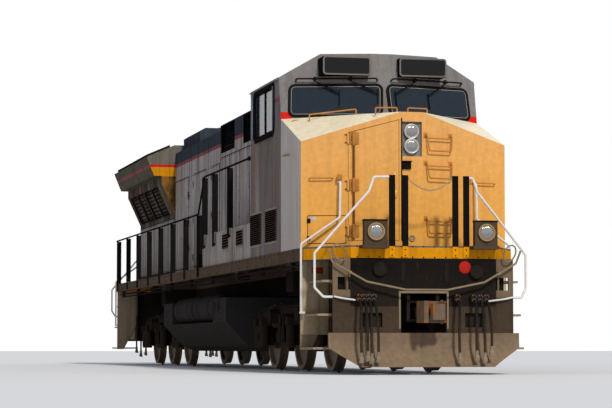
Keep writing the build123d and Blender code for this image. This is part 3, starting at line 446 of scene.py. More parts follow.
def side_soil_and_reflections(tree, base):
    """Old paint under years of soot: grey with tan and dark upright patches, and pale bluish upright streaks that are
    painted reflections.
    """
    coordinates = here(tree)
    patches = noise(tree, stretched(tree, coordinates, (1.0, 2.0, 0.45)), 1.0, 4.0, 0.6)
    color = mix(tree, ramp(tree, patches, 0.50, 0.72, 0.0, 0.55), base, SIDE_TAN)
    dark = noise(tree, stretched(tree, coordinates, (1.0, 2.4, 0.6)), 1.3, 4.0, 0.6)
    color = mix(tree, ramp(tree, dark, 0.50, 0.76, 0.0, 0.45), color, rgb(66, 58, 54))
    # Painted reflections: pale bluish upright streaks, as of the sky seen in the sides.
    pale = noise(tree, stretched(tree, coordinates, (1.0, 3.0, 0.5)), 1.0, 3.0, 0.5)
    return mix(tree, ramp(tree, pale, 0.52, 0.74, 0.0, 0.35), color, rgb(186, 186, 192))


def nose_paint(tree):
    """Yellow front, cream top and soiled grey sides with painted reflection streaks."""
    point, normal = where(tree)
    front = mix(tree, ramp(tree, point["Z"], 2.0, 3.6), YELLOW_LOW, YELLOW)
    color = mix(tree, above(tree, normal["Z"], 0.2), front, CREAM)
    side = above(tree, math_node(tree, "ABSOLUTE", normal["X"]), 0.9)
    return mix(tree, side, color, side_soil_and_reflections(tree, CAB_SIDE))


def cab_paint(tree):
    """Grey cab, red at the outer ends of its front's foot, soiled lower sides with painted reflection streaks, and the
    old stripe.
    """
    point, normal = where(tree)
    across = math_node(tree, "ABSOLUTE", point["X"])
    front = both(tree, below(tree, normal["Y"], -0.5), above(tree, across, 1.36))
    color = mix(tree, both(tree, front, below(tree, point["Z"], 3.90)), CAB_GREY, STRIPE_RED)
    side = above(tree, math_node(tree, "ABSOLUTE", normal["X"]), 0.9)
    side = both(tree, side, below(tree, point["Z"], STRIPE_Z[1]))
    color = mix(tree, side, color, OLD_RED)
    lower = both(tree, side, below(tree, point["Z"], STRIPE_Z[0]))
    return mix(tree, lower, color, side_soil_and_reflections(tree, CAB_SIDE))


def hood_paint(tree):
    """Soiled sides with painted reflection streaks, a red line under the roof's edge and dark blue-grey above it."""
    point, _normal = where(tree)
    color = mix(tree, above(tree, point["Z"], STRIPE_Z[0]), side_soil_and_reflections(tree, HOOD_SIDE), OLD_RED)
    return mix(tree, above(tree, point["Z"], STRIPE_Z[1]), color, rgb(62, 70, 80))


def louvre_paint(tree):
    """Rusty louvre blades, with painted shade in black in the slots between them and on the blades' undersides."""
    point, normal = where(tree)
    flat = above(tree, math_node(tree, "ABSOLUTE", normal["X"]), 0.99)
    tall = both(tree, above(tree, point["Z"], 1.985), below(tree, point["Z"], 2.465))
    short = both(tree, above(tree, point["Z"], 2.045), below(tree, point["Z"], 2.285))
    rear = above(tree, point["Y"], -5.5)
    inside = mix(tree, rear, tall, short)
    # Painted shade: black in the slots and on faces turned downwards.
    slot = math_node(tree, "MAXIMUM", both(tree, flat, inside), below(tree, normal["Z"], -0.3))
    blade = mix(tree, flat, rgb(150, 120, 100), rgb(156, 140, 130))
    return mix(tree, slot, blade, rgb(12, 11, 11))


def grille_paint(tree):
    """Dark intake screens, with the tan edges of their frames towards the front."""
    point, normal = where(tree)
    post = below(tree, math_node(tree, "FRACT", math_node(tree, "SUBTRACT", point["Y"], 0.45)), 0.10)
    return mix(tree, both(tree, post, below(tree, normal["Y"], -0.7)), rgb(16, 15, 15), rgb(160, 140, 112))


def wing_paint(tree):
    """Radiator housing: bright bands on its front face, olive along the wings, painted shade on the low sides under
    the wings and brown painted shade on the front below the bands.
    """
    point, normal = where(tree)
    front = below(tree, normal["Y"], -0.9)
    # Painted shade: brown on the front face below the bands, as if under the wing.
    shaded = noise(tree, here(tree), 2.4, 5.0, 0.6)
    brown = mix(tree, ramp(tree, shaded, 0.4, 0.6), rgb(58, 40, 24), rgb(150, 104, 38))
    # The low sides take the painted-shade side colour.
    low = mix(tree, front, side_soil_and_reflections(tree, RADIATOR_SIDE_SHADE), brown)
    low = mix(tree, above(tree, point["Z"], 3.91), low, mix(tree, front, WING_OLIVE, BAND_YELLOW))
    color = mix(tree, above(tree, point["Z"], 4.10), low, mix(tree, front, OLD_RED, STRIPE_RED))
    return mix(tree, above(tree, point["Z"], 4.155), color, mix(tree, front, WING_OLIVE, rgb(122, 116, 106)))


def platform_paint(tree):
    """End platform: yellow band; below it painted shade, near-black in the recess and dark brown on the pilot; step
    wells lightened to pale tan as painted sunlight.
    """
    point, normal = where(tree)
    across = math_node(tree, "ABSOLUTE", point["X"])
    along = math_node(tree, "ABSOLUTE", point["Y"])
    upright = below(tree, math_node(tree, "ABSOLUTE", normal["Z"]), 0.5)
    # Painted shade: the pilot below 1.08 m in dark brown, as if in the deck's shadow.
    color = mix(tree, above(tree, point["Z"], 1.08), rgb(66, 53, 43), rgb(122, 104, 84))
    # Painted shade: near-black in the recess under the band's overhang.
    dark = both(tree, below(tree, across, 1.06), above(tree, point["Z"], 0.95))
    color = mix(tree, dark, color, rgb(20, 19, 18))
    # Painted light: the step wells' walls in pale tan, as if sunlit.
    well = both(tree, above(tree, across, 1.12), below(tree, along, 10.515))
    color = mix(tree, well, color, rgb(168, 148, 122))
    band = both(tree, above(tree, point["Z"], 1.625), upright)
    color = mix(tree, band, color, BAND_YELLOW)
    return mix(tree, above(tree, point["Z"], 1.775), color, rgb(112, 106, 100))


def end_rail_paint(tree):
    """White corner rails, with the four flat stanchions black and their feet in the band's yellow."""
    point, _normal = where(tree)
    front = below(tree, point["Y"], 0.0)
    across = mix(tree, front, math_node(tree, "MULTIPLY", point["X"], -1.0), point["X"])
    inner = both(tree, above(tree, across, -0.503), below(tree, across, 0.663))
    post = both(tree, inner, above(tree, math_node(tree, "ABSOLUTE", point["Y"]), 10.55))
    color = mix(tree, post, rgb(232, 230, 224), rgb(22, 20, 19))
    return mix(tree, both(tree, post, below(tree, point["Z"], 1.79)), color, BAND_YELLOW)


def lamp_paint(tree):
    """Silvery plate round the headlights, brown elsewhere."""
    point, normal = where(tree)
    plate = both(tree, above(tree, point["Z"], 3.05), below(tree, normal["Y"], -0.9))
    return mix(tree, plate, rgb(86, 70, 54), rgb(138, 136, 132))


def coupler_paint(tree):
    """Grey-tan casting with orange rust."""
    patches = noise(tree, here(tree), 6.0, 5.0, 0.6)
    return mix(tree, ramp(tree, patches, 0.50, 0.60), rgb(112, 96, 82), rgb(160, 94, 40))


def sill_paint(tree):
    """Side sill, grey brown with rusty patches and black below."""
    point, _normal = where(tree)
    return mix(tree, above(tree, point["Z"], 1.6), rgb(18, 17, 16), rgb(100, 84, 70))


def tinted_glass():
    """Dark cab glass that mirrors the sky."""
    material, tree, shader = new_material("cab_glass", "cab_glass")
    film = noise(tree, here(tree), 3.0)
    color = mix(tree, ramp(tree, film, 0.3, 0.7), rgb(24, 34, 46), rgb(40, 54, 68))
    tree.links.new(color, shader.inputs["Base Color"])
    tree.links.new(ramp(tree, film, 0.2, 0.8, 0.03, 0.12), shader.inputs["Roughness"])
    shader.inputs["Alpha"].default_value = 0.82
    shader.inputs["Specular IOR Level"].default_value = 0.7
    return material


def gloss(name, slot, color, rough, metallic=0.0):
    """A clean glossy finish with a faint film of dust."""
    material, tree, shader = new_material(name, slot)
    film = noise(tree, here(tree), 9.0, 5.0, 0.6)
    darker = tuple(channel * 0.72 for channel in color[:3]) + (1.0,)
    tree.links.new(mix(tree, ramp(tree, film, 0.35, 0.7), color, darker), shader.inputs["Base Color"])
    tree.links.new(ramp(tree, film, 0.2, 0.8, rough, rough + 0.12), shader.inputs["Roughness"])
    shader.inputs["Metallic"].default_value = metallic
    shader.inputs["Specular IOR Level"].default_value = 0.22
    return material


def lamp_glass():
    """Silvered glass with fine upright ribs."""
    material, tree, shader = new_material("lamp_lens", "lamp_grey")
    ribs = place(tree, "ShaderNodeTexWave", {"Vector": here(tree), "Scale": 26.0, "Distortion": 0.4},
                 wave_type="BANDS", bands_direction="X").outputs["Fac"]
    color = mix(tree, ramp(tree, ribs, 0.2, 0.8), rgb(176, 176, 174), rgb(84, 86, 90))
    tree.links.new(color, shader.inputs["Base Color"])
    relief = place(tree, "ShaderNodeBump", {"Strength": 0.35, "Distance": 0.003, "Height": ribs})
    tree.links.new(relief.outputs[0], shader.inputs["Normal"])
    shader.inputs["Metallic"].default_value = 0.55
    shader.inputs["Roughness"].default_value = 0.16
    return material


FINISH = {
    # weathered: material, slot, paint, then grime, streaks, rust and dust
    "nose_yellow": weathered("nose_paint", "nose_yellow", nose_paint, 0.08, 0.10, 0.25, 0.10, dust_height=2.4,
                             grime_color=rgb(150, 104, 52), specular=0.2),
    "cab_grey": weathered("cab_paint", "cab_grey", cab_paint, 0.18, 0.22, 0.15, 0.0),
    "side_grey": weathered("hood_paint", "side_grey", hood_paint, 0.35, 0.55, 0.9, 0.25, dust_height=3.0),
    "wing": weathered("wing_paint", "side_grey", wing_paint, 0.30, 0.4, 0.5, 0.2, dust_height=3.0),
    "sill_paint": weathered("sill_paint", "sill_paint", sill_paint, 0.4, 0.4, 1.0, 0.10),
    # The platform's finish holds painted shade in the recess and on the pilot, and painted light in the step wells.
    "pilot_dust": weathered("platform_paint", "pilot_dust", platform_paint, 0.25, 0.3, 0.7, 0.10, dust_height=1.5),
    "plow": weathered("plow_paint", "pilot_dust", rgb(120, 100, 84), 0.3, 0.3, 0.9, 0.6, dust_height=0.9),
    "black_steel": weathered("black_steel", "black_steel", rgb(24, 23, 22), 0.1, 0.1, 0.25, 0.10, dust_height=2.0),
    "rail_white": weathered("rail_white", "rail_white", rgb(232, 230, 224), 0.06, 0.06, 0.35, 0.05),
    "tank_grey": weathered("tank_grey", "tank_grey", rgb(56, 54, 53), 0.4, 0.35, 0.3, 0.25, dust_height=1.2,
                           dust_color=rgb(80, 72, 62)),
    "truck_steel": weathered("truck_steel", "truck_steel", rgb(34, 30, 28), 0.4, 0.3, 0.4, 0.35, dust_height=1.3,
                             dust_color=rgb(80, 68, 54)),
    "wheel_steel": weathered("wheel_steel", "wheel_steel", rgb(70, 58, 50), 0.4, 0.0, 0.6, 0.3, dust_height=1.2,
                             metallic=0.4),
    "cast_coupler": weathered("cast_coupler", "cast_coupler", coupler_paint, 0.3, 0.1, 0.6, 0.1, dust_height=1.4,
                              metallic=0.1, bump=0.4),
    "hose_rubber": weathered("hose_rubber", "hose_rubber", rgb(30, 29, 28), 0.1, 0.0, 0.0, 0.15, dust_height=1.0,
                             bump=0.2),
    "lamp_grey": weathered("lamp_housing", "lamp_grey", rgb(96, 84, 72), 0.4, 0.3, 0.8, 0.2, dust_height=2.2),
    "seat_fabric": weathered("seat_cloth", "seat_fabric", rgb(60, 60, 64), 0.3, 0.0, 0.0, 0.0, bump=0.5),
    "louvres": weathered("louvre_paint", "side_grey", louvre_paint, 0.2, 0.2, 0.8, 0.0),
    "grilles": weathered("grille_paint", "side_grey", grille_paint, 0.2, 0.1, 0.2, 0.0),
    "screens": weathered("screen_black", "side_grey", rgb(16, 16, 17), 0.0, 0.0, 0.1, 0.0),
    "end_rails": weathered("end_rail_paint", "rail_white", end_rail_paint, 0.06, 0.06, 0.35, 0.05),
    "lamps": weathered("lamp_paint", "lamp_grey", lamp_paint, 0.3, 0.2, 0.6, 0.1),
    "lever": weathered("lever_tan", "black_steel", rgb(152, 134, 108), 0.3, 0.2, 0.9, 0.1),
    "iron": weathered("orange_iron", "nose_yellow", rgb(204, 138, 68), 0.3, 0.1, 0.9, 0.0),
    "rusty_rod": weathered("rusty_rod", "nose_yellow", rgb(124, 74, 34), 0.3, 0.1, 0.9, 0.0),
    "hose_head": weathered("hose_head", "cast_coupler", rgb(152, 136, 116), 0.3, 0.0, 0.8, 0.0),
    # Painted light: a bright tan for the step wells' back plates, as if sunlit.
    "sunlit_well_tan": weathered("sunlit_well_tan", "pilot_dust", rgb(196, 176, 146), 0.2, 0.4, 0.6, 0.0),
    "cab_glass": tinted_glass(),
    "dark_bolt": weathered("bolt_steel", "black_steel", rgb(46, 40, 36), 0.3, 0.0, 0.7, 0.2, dust_height=2.0),
    "bead_grey": weathered("bead_grey", "cab_grey", rgb(176, 172, 164), 0.2, 0.0, 0.0, 0.0),
    "board_frame": weathered("board_frame", "cab_grey", rgb(122, 116, 112), 0.3, 0.1, 0.1, 0.0),
    "lamp_tan": weathered("lamp_tan", "lamp_grey", rgb(176, 146, 106), 0.3, 0.0, 0.5, 0.1),
    "lamp_rim": weathered("lamp_rim", "lamp_grey", rgb(196, 192, 184), 0.15, 0.0, 0.2, 0.0, metallic=0.7),
    "bare_plate": weathered("bare_plate", "rail_white", rgb(206, 200, 186), 0.2, 0.1, 0.3, 0.1),
    "red_paint": weathered("red_paint", "rail_white", rgb(184, 34, 26), 0.2, 0.1, 0.3, 0.1),
    "chain": weathered("chain_steel", "lamp_grey", rgb(196, 170, 130), 0.3, 0.0, 0.8, 0.0, metallic=0.3),
    # Painted reflection: the side mirrors tinted sky blue.
    "mirror": gloss("mirror_painted_sky", "cab_glass", rgb(104, 134, 164), 0.12, 0.7),
    "windshield": gloss("windshield_glass", "cab_glass", rgb(24, 38, 52), 0.05),
    "board_face": gloss("board_face", "black_steel", rgb(14, 14, 15), 0.10),
    "lamp_lens": lamp_glass(),
}


# Air hoses, the part's only cords
ENDS = (("front", 0.0), ("rear", math.pi))
PLATFORM_END = 10.570
HOSE_TOP = 1.050
HOSE_RADIUS = 0.019
HOSES = (
    # x, sideways drift, reach of the lower end, height of the end
    (-0.960, -0.014, 0.000, 0.300),
    (-0.890, 0.010, 0.014, 0.320),
    (-0.820, -0.008, 0.004, 0.290),
    (-0.750, 0.022, 0.010, 0.310),
    (0.460, -0.030, 0.006, 0.300),
    (0.700, -0.018, 0.000, 0.330),
    (0.790, 0.012, 0.012, 0.300),
    (0.880, 0.026, 0.004, 0.390),
)


def hose_points(x, drift, reach, low):
    """The hose's route, from its fitting on the manifold to its coupling head."""
    y, drop = -PLATFORM_END, HOSE_TOP - low
    return [Vector(point) for point in (
        (x, y - 0.120, HOSE_TOP - 0.015), (x, y - 0.180, HOSE_TOP - 0.045),
        (x + drift * 0.2, y - 0.240, HOSE_TOP - drop * 0.19), (x + drift * 0.6, y - 0.268, HOSE_TOP - drop * 0.42),
        (x + drift, y - 0.282 - reach, HOSE_TOP - drop * 0.70), (x + drift * 0.8, y - 0.287 - reach, low))]


def hose(name, points):
    """A smooth rubber tube along the route, and its length."""
    piece, line = bare_curve(name, "NURBS", points)
    line.order_u = 3
    line.use_endpoint_u = True
    line.resolution_u = 10
    bare = bpy.data.meshes.new_from_object(piece)
    corners = [vertex.co.copy() for vertex in bare.vertices]
    length = sum((b - a).length for a, b in zip(corners, corners[1:]))
    bpy.data.meshes.remove(bare)
    thicken(piece, HOSE_RADIUS, 4)
    piece.data.materials.append(FINISH["hose_rubber"])
    return piece, length


def coupling_head():
    """A hose's cast coupling head with its ferrule and clamps, hanging down from the origin."""
    parts = [drum("ferrule", (0, 0, 0.004), (0, 0, -0.060), 0.0245, 12)]
    parts += [ring("clamp", (0, 0, z), (0, 0, 1), 0.0245, 0.004, 20, 6) for z in (-0.008, -0.026)]
    body = slab("head", (-0.030, -0.025, -0.136), (0.030, 0.025, -0.056), 0.012, 3)
    alone(body)
    bpy.ops.object.mode_set(mode="EDIT")
    bpy.ops.mesh.select_mode(type="FACE")
    bpy.ops.mesh.select_all(action="DESELECT")
    bpy.ops.object.mode_set(mode="OBJECT")
    for face in body.data.polygons:
        face.select = face.normal.x > 0.95 and face.area > 0.0008
    bpy.ops.object.mode_set(mode="EDIT")
    bpy.ops.mesh.inset(thickness=0.006)
    bpy.ops.mesh.extrude_region_move(TRANSFORM_OT_translate={"value": (0.006, 0, 0)})
    bpy.ops.object.mode_set(mode="OBJECT")
    parts.append(body)
    parts.append(ring("gasket", (0, -0.026, -0.100), (0, 1, 0), 0.016, 0.005, 20, 8))
    parts.append(slab("lip", (-0.036, -0.012, -0.139), (-0.012, 0.014, -0.108), 0.004, 2))
    return one_piece("coupling_head", parts)


def hose_tap():
    """A hose's valve on the manifold: hexagon, collar and turned handle."""
    parts = [drum("hexagon", (0, -0.070, 0), (0, -0.112, -0.012), 0.031, 6, 0.003)]
    parts.append(ring("collar", (0, -0.122, -0.016), (0, 1, 0.3), 0.0225, 0.005, 20, 6))
    parts.append(drum("stem", (0, -0.052, 0.03), (0, -0.052, 0.066), 0.012, 10, 0.002))
    parts.append(bent("handle", [(0, -0.052, 0.062), (0.022, -0.060, 0.066), (0.030, -0.105, 0.052),
                                 (0.030, -0.135, 0.030)], 0.007))
    return one_piece("hose_tap", parts)


def add_hoses():
    """Eight hoses at each end, each with its own coupling head and valve."""
    pattern, tap = coupling_head(), hose_tap()
    for end, half_turn in ENDS:
        turn = Matrix.Rotation(half_turn, 4, "Z")
        hoses, heads, taps = [], [], []
        for number, place_of_hose in enumerate(HOSES):
            points = [turn @ point for point in hose_points(*place_of_hose)]
            piece, length = hose("air_hose_%s_%d" % (end, number + 1), points)
            aim = (points[-1] - points[-2]).normalized()
            hang = Vector((0, 0, -1)).rotation_difference(aim).to_matrix().to_4x4()
            head = copy_to(pattern, "coupling_head_%s_%d" % (end, number + 1),
                           Matrix.Translation(points[-1]) @ hang @ turn)
            finish(head, "hose_head")
            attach(piece, "carbody")
            taps.append(copy_to(tap, "tap", turn @ Matrix.Translation((place_of_hose[0], -PLATFORM_END, HOSE_TOP))))
            hoses.append(piece)
            heads.append(head)
        assemble("hose_taps_" + end, taps, "cast_coupler")
        for piece in hoses:
            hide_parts("air_hoses_" + end)
        for head in heads:
            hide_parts("glad_hands_" + end)
    for used_up in (pattern, tap):
        bpy.data.objects.remove(used_up)


add_hoses()


# Faces that the trim sits on
BODY_HALF = 1.530
NOSE_FLAT = 0.160
NOSE_FRONT = -9.950
NOSE_SWEEP = 0.440
CAB_FRONT = -8.500
CAB_BASE = 3.790
CAB_SWEEP = 0.370
CAB_LEAN = 0.240
CAB_ROOF = 4.800
HOOD_HALF = 0.950
SHIELD = (-0.115, 1.317, 0.024, 0.557)      # inner, outer, low, high of a windshield's gasket on its face
SIDE_WINDOW = (-7.630, -6.180, 3.650, 4.360)
PANES_X = (0.230, 0.950)
BOARD_Z = (4.444, 4.726)


def face_matrix(start, along, up):
    """Turns (along, up, out) on a front face into the locomotive's own axes."""
    along = along.normalized()
    out = along.cross(up).normalized()
    if out.y > 0:
        out = -out
    up = up - along * up.dot(along)
    matrix = Matrix((along, up.normalized(), out)).transposed().to_4x4()
    return Matrix.Translation(start) @ matrix


def nose_face(side):
    start = Vector((side * NOSE_FLAT, NOSE_FRONT, 0))
    return face_matrix(start, Vector((side * (BODY_HALF - NOSE_FLAT), NOSE_SWEEP, 0)), Vector((0, 0, 1)))


def shield_face(side):
    start = Vector((side * NOSE_FLAT, CAB_FRONT, CAB_BASE))
    along = Vector((side * (BODY_HALF - NOSE_FLAT), CAB_SWEEP, 0))
    return face_matrix(start, along, Vector((0, CAB_LEAN, CAB_ROOF - CAB_BASE)))


def repeated(name, pattern, matrices):
    """One mesh that holds the same small part at many places."""
    corners = [vertex.co.copy() for vertex in pattern.data.vertices]
    faces = [tuple(face.vertices) for face in pattern.data.polygons]
    points, polygons = [], []
    for matrix in matrices:
        first = len(points)
        points += [matrix @ corner for corner in corners]
        order = -1 if matrix.determinant() < 0 else 1
        polygons += [tuple(first + index for index in face)[::order] for face in faces]
    mesh = bpy.data.meshes.new(name)
    mesh.from_pydata([tuple(point) for point in points], [], polygons)
    piece = bpy.data.objects.new(name, mesh)
    bpy.context.scene.collection.objects.link(piece)
    return piece


def bolt_heads(name, places, radius=0.009, height=0.007):
    """Hexagon heads at places given as a point and the way they face."""
    pattern = drum("bolt", (0, 0, -0.002), (0, 0, height), radius, 6, 0, top=radius * 0.86)
    turns = [Matrix.Translation(point) @ Vector(out).to_track_quat("Z", "Y").to_matrix().to_4x4()
             for point, out in places]
    piece = repeated(name, pattern, turns)
    bpy.data.objects.remove(pattern)
    return piece


def loop_on(matrix, box, grow, corner, out, radius):
    """A rounded rectangle of rod on a face, outside the box (left, right, low, high) by grow."""
    left, right, low, high = box[0] - grow, box[1] + grow, box[2] - grow, box[3] + grow
    points = []
    for x, z, turn in ((right - corner, high - corner, 0), (left + corner, high - corner, 1),
                       (left + corner, low + corner, 2), (right - corner, low + corner, 3)):
        for step in range(5):
            angle = math.pi / 2 * (turn + step / 4)
            points.append(matrix @ Vector((x + corner * math.cos(angle), z + corner * math.sin(angle), out)))
    return wire("loop", points, radius, closed=True)


# Windows, wipers and number boards
def wall_face(side, x):
    """Turns (along, up, out) on a side wall into the locomotive's own axes."""
    return Matrix(((0, 0, side, x), (1, 0, 0, 0), (0, 1, 0, 0), (0, 0, 0, 1)))


WIPERS = (
    # side, hub and end along the windshield, ends of the blade
    (-1, 0.912, 0.547, 0.457, 0.206),
    (-1, 0.379, -0.030, 0.457, 0.240),
    (1, 0.346, 0.023, 0.430, 0.180),
    (1, 0.880, 0.594, 0.430, 0.180),
)


def add_cab_trim():
    """Wide windshields in rubber gaskets, their rails and wipers, and the side windows' gaskets and armrests."""
    gaskets, beads, panes, rails, wipers = [], [], [], [], []
    inner, outer, low, high = SHIELD
    y0, y1, _z0, _z1 = SIDE_WINDOW
    for side in (-1, 1):
        face = shield_face(side)
        gaskets.append(loop_on(face, SHIELD, -0.022, 0.085, 0.004, 0.022))
        beads.append(loop_on(face, SHIELD, -0.050, 0.060, 0.014, 0.004))
        pane = slab("pane", (inner + 0.022, low + 0.022, -0.004), (outer - 0.022, high - 0.022, 0.010), 0)
        round_corners(pane, 2, 0.007, 0.080, 6)
        panes.append(moved(pane, face))
        rails.append(bar_on("rail", face, ((-0.02, 0.600, 0.0), (-0.02, 0.615, 0.075), (1.20, 0.615, 0.075),
                                           (1.20, 0.600, 0.0)), 0.012, 0.04))
        wall = wall_face(side, side * BODY_HALF)
        gaskets.append(loop_on(wall, SIDE_WINDOW, 0.02, 0.080, 0.004, 0.030))
        rails.append(bar_on("armrest", wall, ((y0 + 0.10, 3.590, 0.0), (y0 + 0.10, 3.590, 0.030),
                                              (y1 - 0.10, 3.590, 0.030), (y1 - 0.10, 3.590, 0.0)), 0.013, 0.03))
    for side, near, far, top, foot in WIPERS:
        face = shield_face(side)
        wipers += [bar_on("arm", face, ((near, 0.610, 0.080), (near, 0.575, 0.075), (far, 0.378, 0.045)), 0.009, 0.03),
                   bar_on("link", face, ((near + 0.05, 0.600, 0.080), (far + 0.03, 0.420, 0.050)), 0.006),
                   bar_on("blade", face, ((far, top, 0.026), (far, foot, 0.026)), 0.009),
                   drum("hub", face @ Vector((near, 0.610, 0.060)), face @ Vector((near, 0.610, 0.110)), 0.026, 12,
                        0.003)]
    assemble("window_gaskets", gaskets, "hose_rubber")
    assemble("window_beads", beads, "bead_grey")
    assemble("windshields", panes, "windshield")
    assemble("windshield_rails", rails, "black_steel")
    assemble("wipers", wipers, "black_steel")


def add_sashes():
    """Sash frames in the side windows, with the mirror and the wind board beside each."""
    frames, panes, mirrors = [], [], []
    y0, y1, z0, z1 = SIDE_WINDOW
    middle = (y0 + y1) / 2
    reach = (BODY_HALF + 0.004, BODY_HALF + 0.043)
    for side in (-1, 1):
        x = side * (BODY_HALF - 0.014)
        for a, b, out in ((y0 + 0.03, middle + 0.02, 0.0), (middle - 0.02, y1 - 0.03, -0.012 * side)):
            frames.append(loop_on(wall_face(side, x + out), (a, b, z0 + 0.03, z1 - 0.03), 0, 0.03, 0.0, 0.012))
        panes.append(side_slab("wind_board", side, reach, (y0 - 0.052, y0 - 0.042), (z0 + 0.05, z1 - 0.02), 0.002))
        mirrors.append(side_slab("mirror", side, reach, (y1 + 0.055, y1 + 0.075), (z0 + 0.04, z1 - 0.06), 0.006))
        for z in (z0 + 0.10, z1 - 0.12):
            frames.append(wire("bracket", [(side * (BODY_HALF - 0.002), y1 + 0.065, z),
                                           (side * (BODY_HALF + 0.03), y1 + 0.065, z)], 0.007))
    assemble("window_sashes", frames, "black_steel")
    assemble("wind_boards", panes, "cab_glass")
    assemble("side_mirrors", mirrors, "mirror")


def add_number_boards():
    """Blank black boards, each sunk in a rounded grey frame."""
    y = CAB_FRONT + 0.060
    for name, side in (("right", -1), ("left", 1)):
        board = side_slab("number_board_" + name, side, (PANES_X[0] - 0.006, PANES_X[1] + 0.006),
                          (y - 0.018, y - 0.001), BOARD_Z, 0)
        round_corners(board, 1, 0.01, 0.05, 5)
        for face in board.data.polygons:
            face.select = face.normal.y < -0.9
        bpy.ops.object.mode_set(mode="EDIT")
        bpy.ops.mesh.select_mode(type="FACE")
        bpy.ops.mesh.inset(thickness=0.022)
        bpy.ops.mesh.extrude_region_move(TRANSFORM_OT_translate={"value": (0, 0.010, 0)})
        bpy.ops.object.mode_set(mode="OBJECT")
        chosen = [face.select for face in board.data.polygons]
        finish(board, "board_frame")
        board.data.materials.append(FINISH["board_face"])
        for face, inner in zip(board.data.polygons, chosen):
            face.material_index = int(inner)


# Lamps
def lamp_face():
    """A sealed lamp facing the front, with its rim and a domed lens."""
    rim = ring("rim", (0, -0.004, 0), (0, 1, 0), 0.090, 0.010, 36, 8)
    retainer = ring("retainer", (0, -0.008, 0), (0, 1, 0), 0.076, 0.004, 36, 6)
    bpy.ops.object.select_all(action="DESELECT")
    bpy.ops.mesh.primitive_uv_sphere_add(segments=32, ring_count=16, radius=0.078, location=(0, 0, 0))
    lens = bpy.context.object
    lens.name = "lens"
    lens.scale = (1, 0.24, 1)
    settle(lens)
    alone(lens)
    bpy.ops.object.mode_set(mode="EDIT")
    bpy.ops.mesh.select_all(action="SELECT")
    bpy.ops.mesh.bisect(plane_co=(0, 0.002, 0), plane_no=(0, 1, 0), clear_outer=True)
    bpy.ops.object.mode_set(mode="OBJECT")
    bpy.ops.object.shade_smooth()
    return one_piece("rims", [rim, retainer]), lens


LAMPS = (
    # name, x, y, z, size, faces the rear
    ("headlight_low", 0.0, -9.944, 3.258, 1.12, False),
    ("headlight_high", 0.0, -9.944, 3.470, 1.12, False),
    ("ditch_light_right", -0.740, -10.787, 1.985, 1.25, False),
    ("ditch_light_left", 0.860, -10.787, 1.985, 1.25, False),
    ("rear_light_low", 0.0, 10.087, 3.510, 0.90, True),
    ("rear_light_high", 0.0, 10.087, 3.730, 0.90, True),
)


def add_lamps():
    rims, lens = lamp_face()
    for name, x, y, z, size, rear in LAMPS:
        turn = Matrix.Translation((x, y, z)) @ Matrix.Rotation(math.pi if rear else 0.0, 4, "Z")
        matrix = turn @ Matrix.Scale(size, 4)
        finish(copy_to(rims, name + "_rims", matrix), "lamp_rim" if "ditch" not in name else "lamp_tan")
        finish(copy_to(lens, name + "_lens", matrix), "lamp_lens")
    for used_up in (rims, lens):
        bpy.data.objects.remove(used_up)
    hoods = [slab("visor", (x - 0.172, -10.775, 2.138), (x + 0.172, -10.655, 2.156), 0.004) for x in (-0.740, 0.860)]
    assemble("ditch_light_visors", hoods, "black_steel")


# Nose, platform band and pilot
HINGE_PLATES = (2.040, 2.700, 3.370)
HINGE_ALONG = 0.674
LINK_PITCH = 0.036
STANCHIONS_X = (-0.46, -0.27, 0.46, 0.62)


def add_nose_trim():
    """Hinge bolts, the door's handle and latch, the step light and a socket on the nose."""
    face = nose_face(-1)
    out = face.to_3x3() @ Vector((0, 0, 1))
    door, shell = ([(face @ Vector((along, height + up, 0.008)), out) for height in HINGE_PLATES
                    for along in alongs for up in ups]
                   for alongs, ups in (((0.745, 0.705), (0.018, -0.018)), ((0.775, 0.795), (0.057, -0.057))))
    finish(bolt_heads("nose_door_bolts", door), "dark_bolt", "nose_door")
    handle = bar_on("nose_door_handle", face, ((0.085, 2.660, 0.0), (0.085, 2.660, 0.050), (0.085, 2.860, 0.050),
                                               (0.085, 2.860, 0.0)), 0.010)
    latch = block_on("latch", face @ Matrix.Translation((0.085, 2.560, 0.0)), (-0.028, -0.045, 0.0),
                     (0.028, 0.045, 0.022), 0.006)
    assemble("nose_door_handle", [handle, latch], "nose_yellow", "nose_door")
    finish(bolt_heads("nose_bolts", shell, 0.010, 0.009), "dark_bolt")
    light = slab("step_light", (-0.145, -9.985, 2.925), (-0.015, -9.948, 3.035), 0.008, 3)
    hood = slab("step_light_hood", (-0.155, -10.010, 3.028), (-0.005, -9.948, 3.042), 0.004)
    assemble("step_light", [light, hood], "black_steel")
    socket = [ring("socket", (0.0, -9.956, 1.935), (0, 1, 0), 0.040, 0.010, 28, 8),
              drum("socket_well", (0.0, -9.953, 1.935), (0.0, -9.945, 1.935), 0.036, 24, 0)]
    assemble("nose_socket", socket, "lamp_tan")


IRONS_Z = ((3.420, 3.195), (3.020, 2.800), (2.225, 2.010))
RIDGE_RAILS = (
    # the bar's two ends and how far its feet reach down
    ((-0.480, -9.740, 3.822), (-0.160, -9.740, 3.830), 0.110),
    ((0.000, -9.740, 3.830), (0.290, -9.740, 3.822), 0.110),
    ((-0.560, -8.900, 3.885), (-1.240, -8.780, 3.800), 0.200),
    ((-1.060, -8.560, 3.765), (-1.430, -8.460, 3.735), 0.080),
    ((0.420, -8.950, 3.850), (1.120, -8.800, 3.720), 0.180),
)


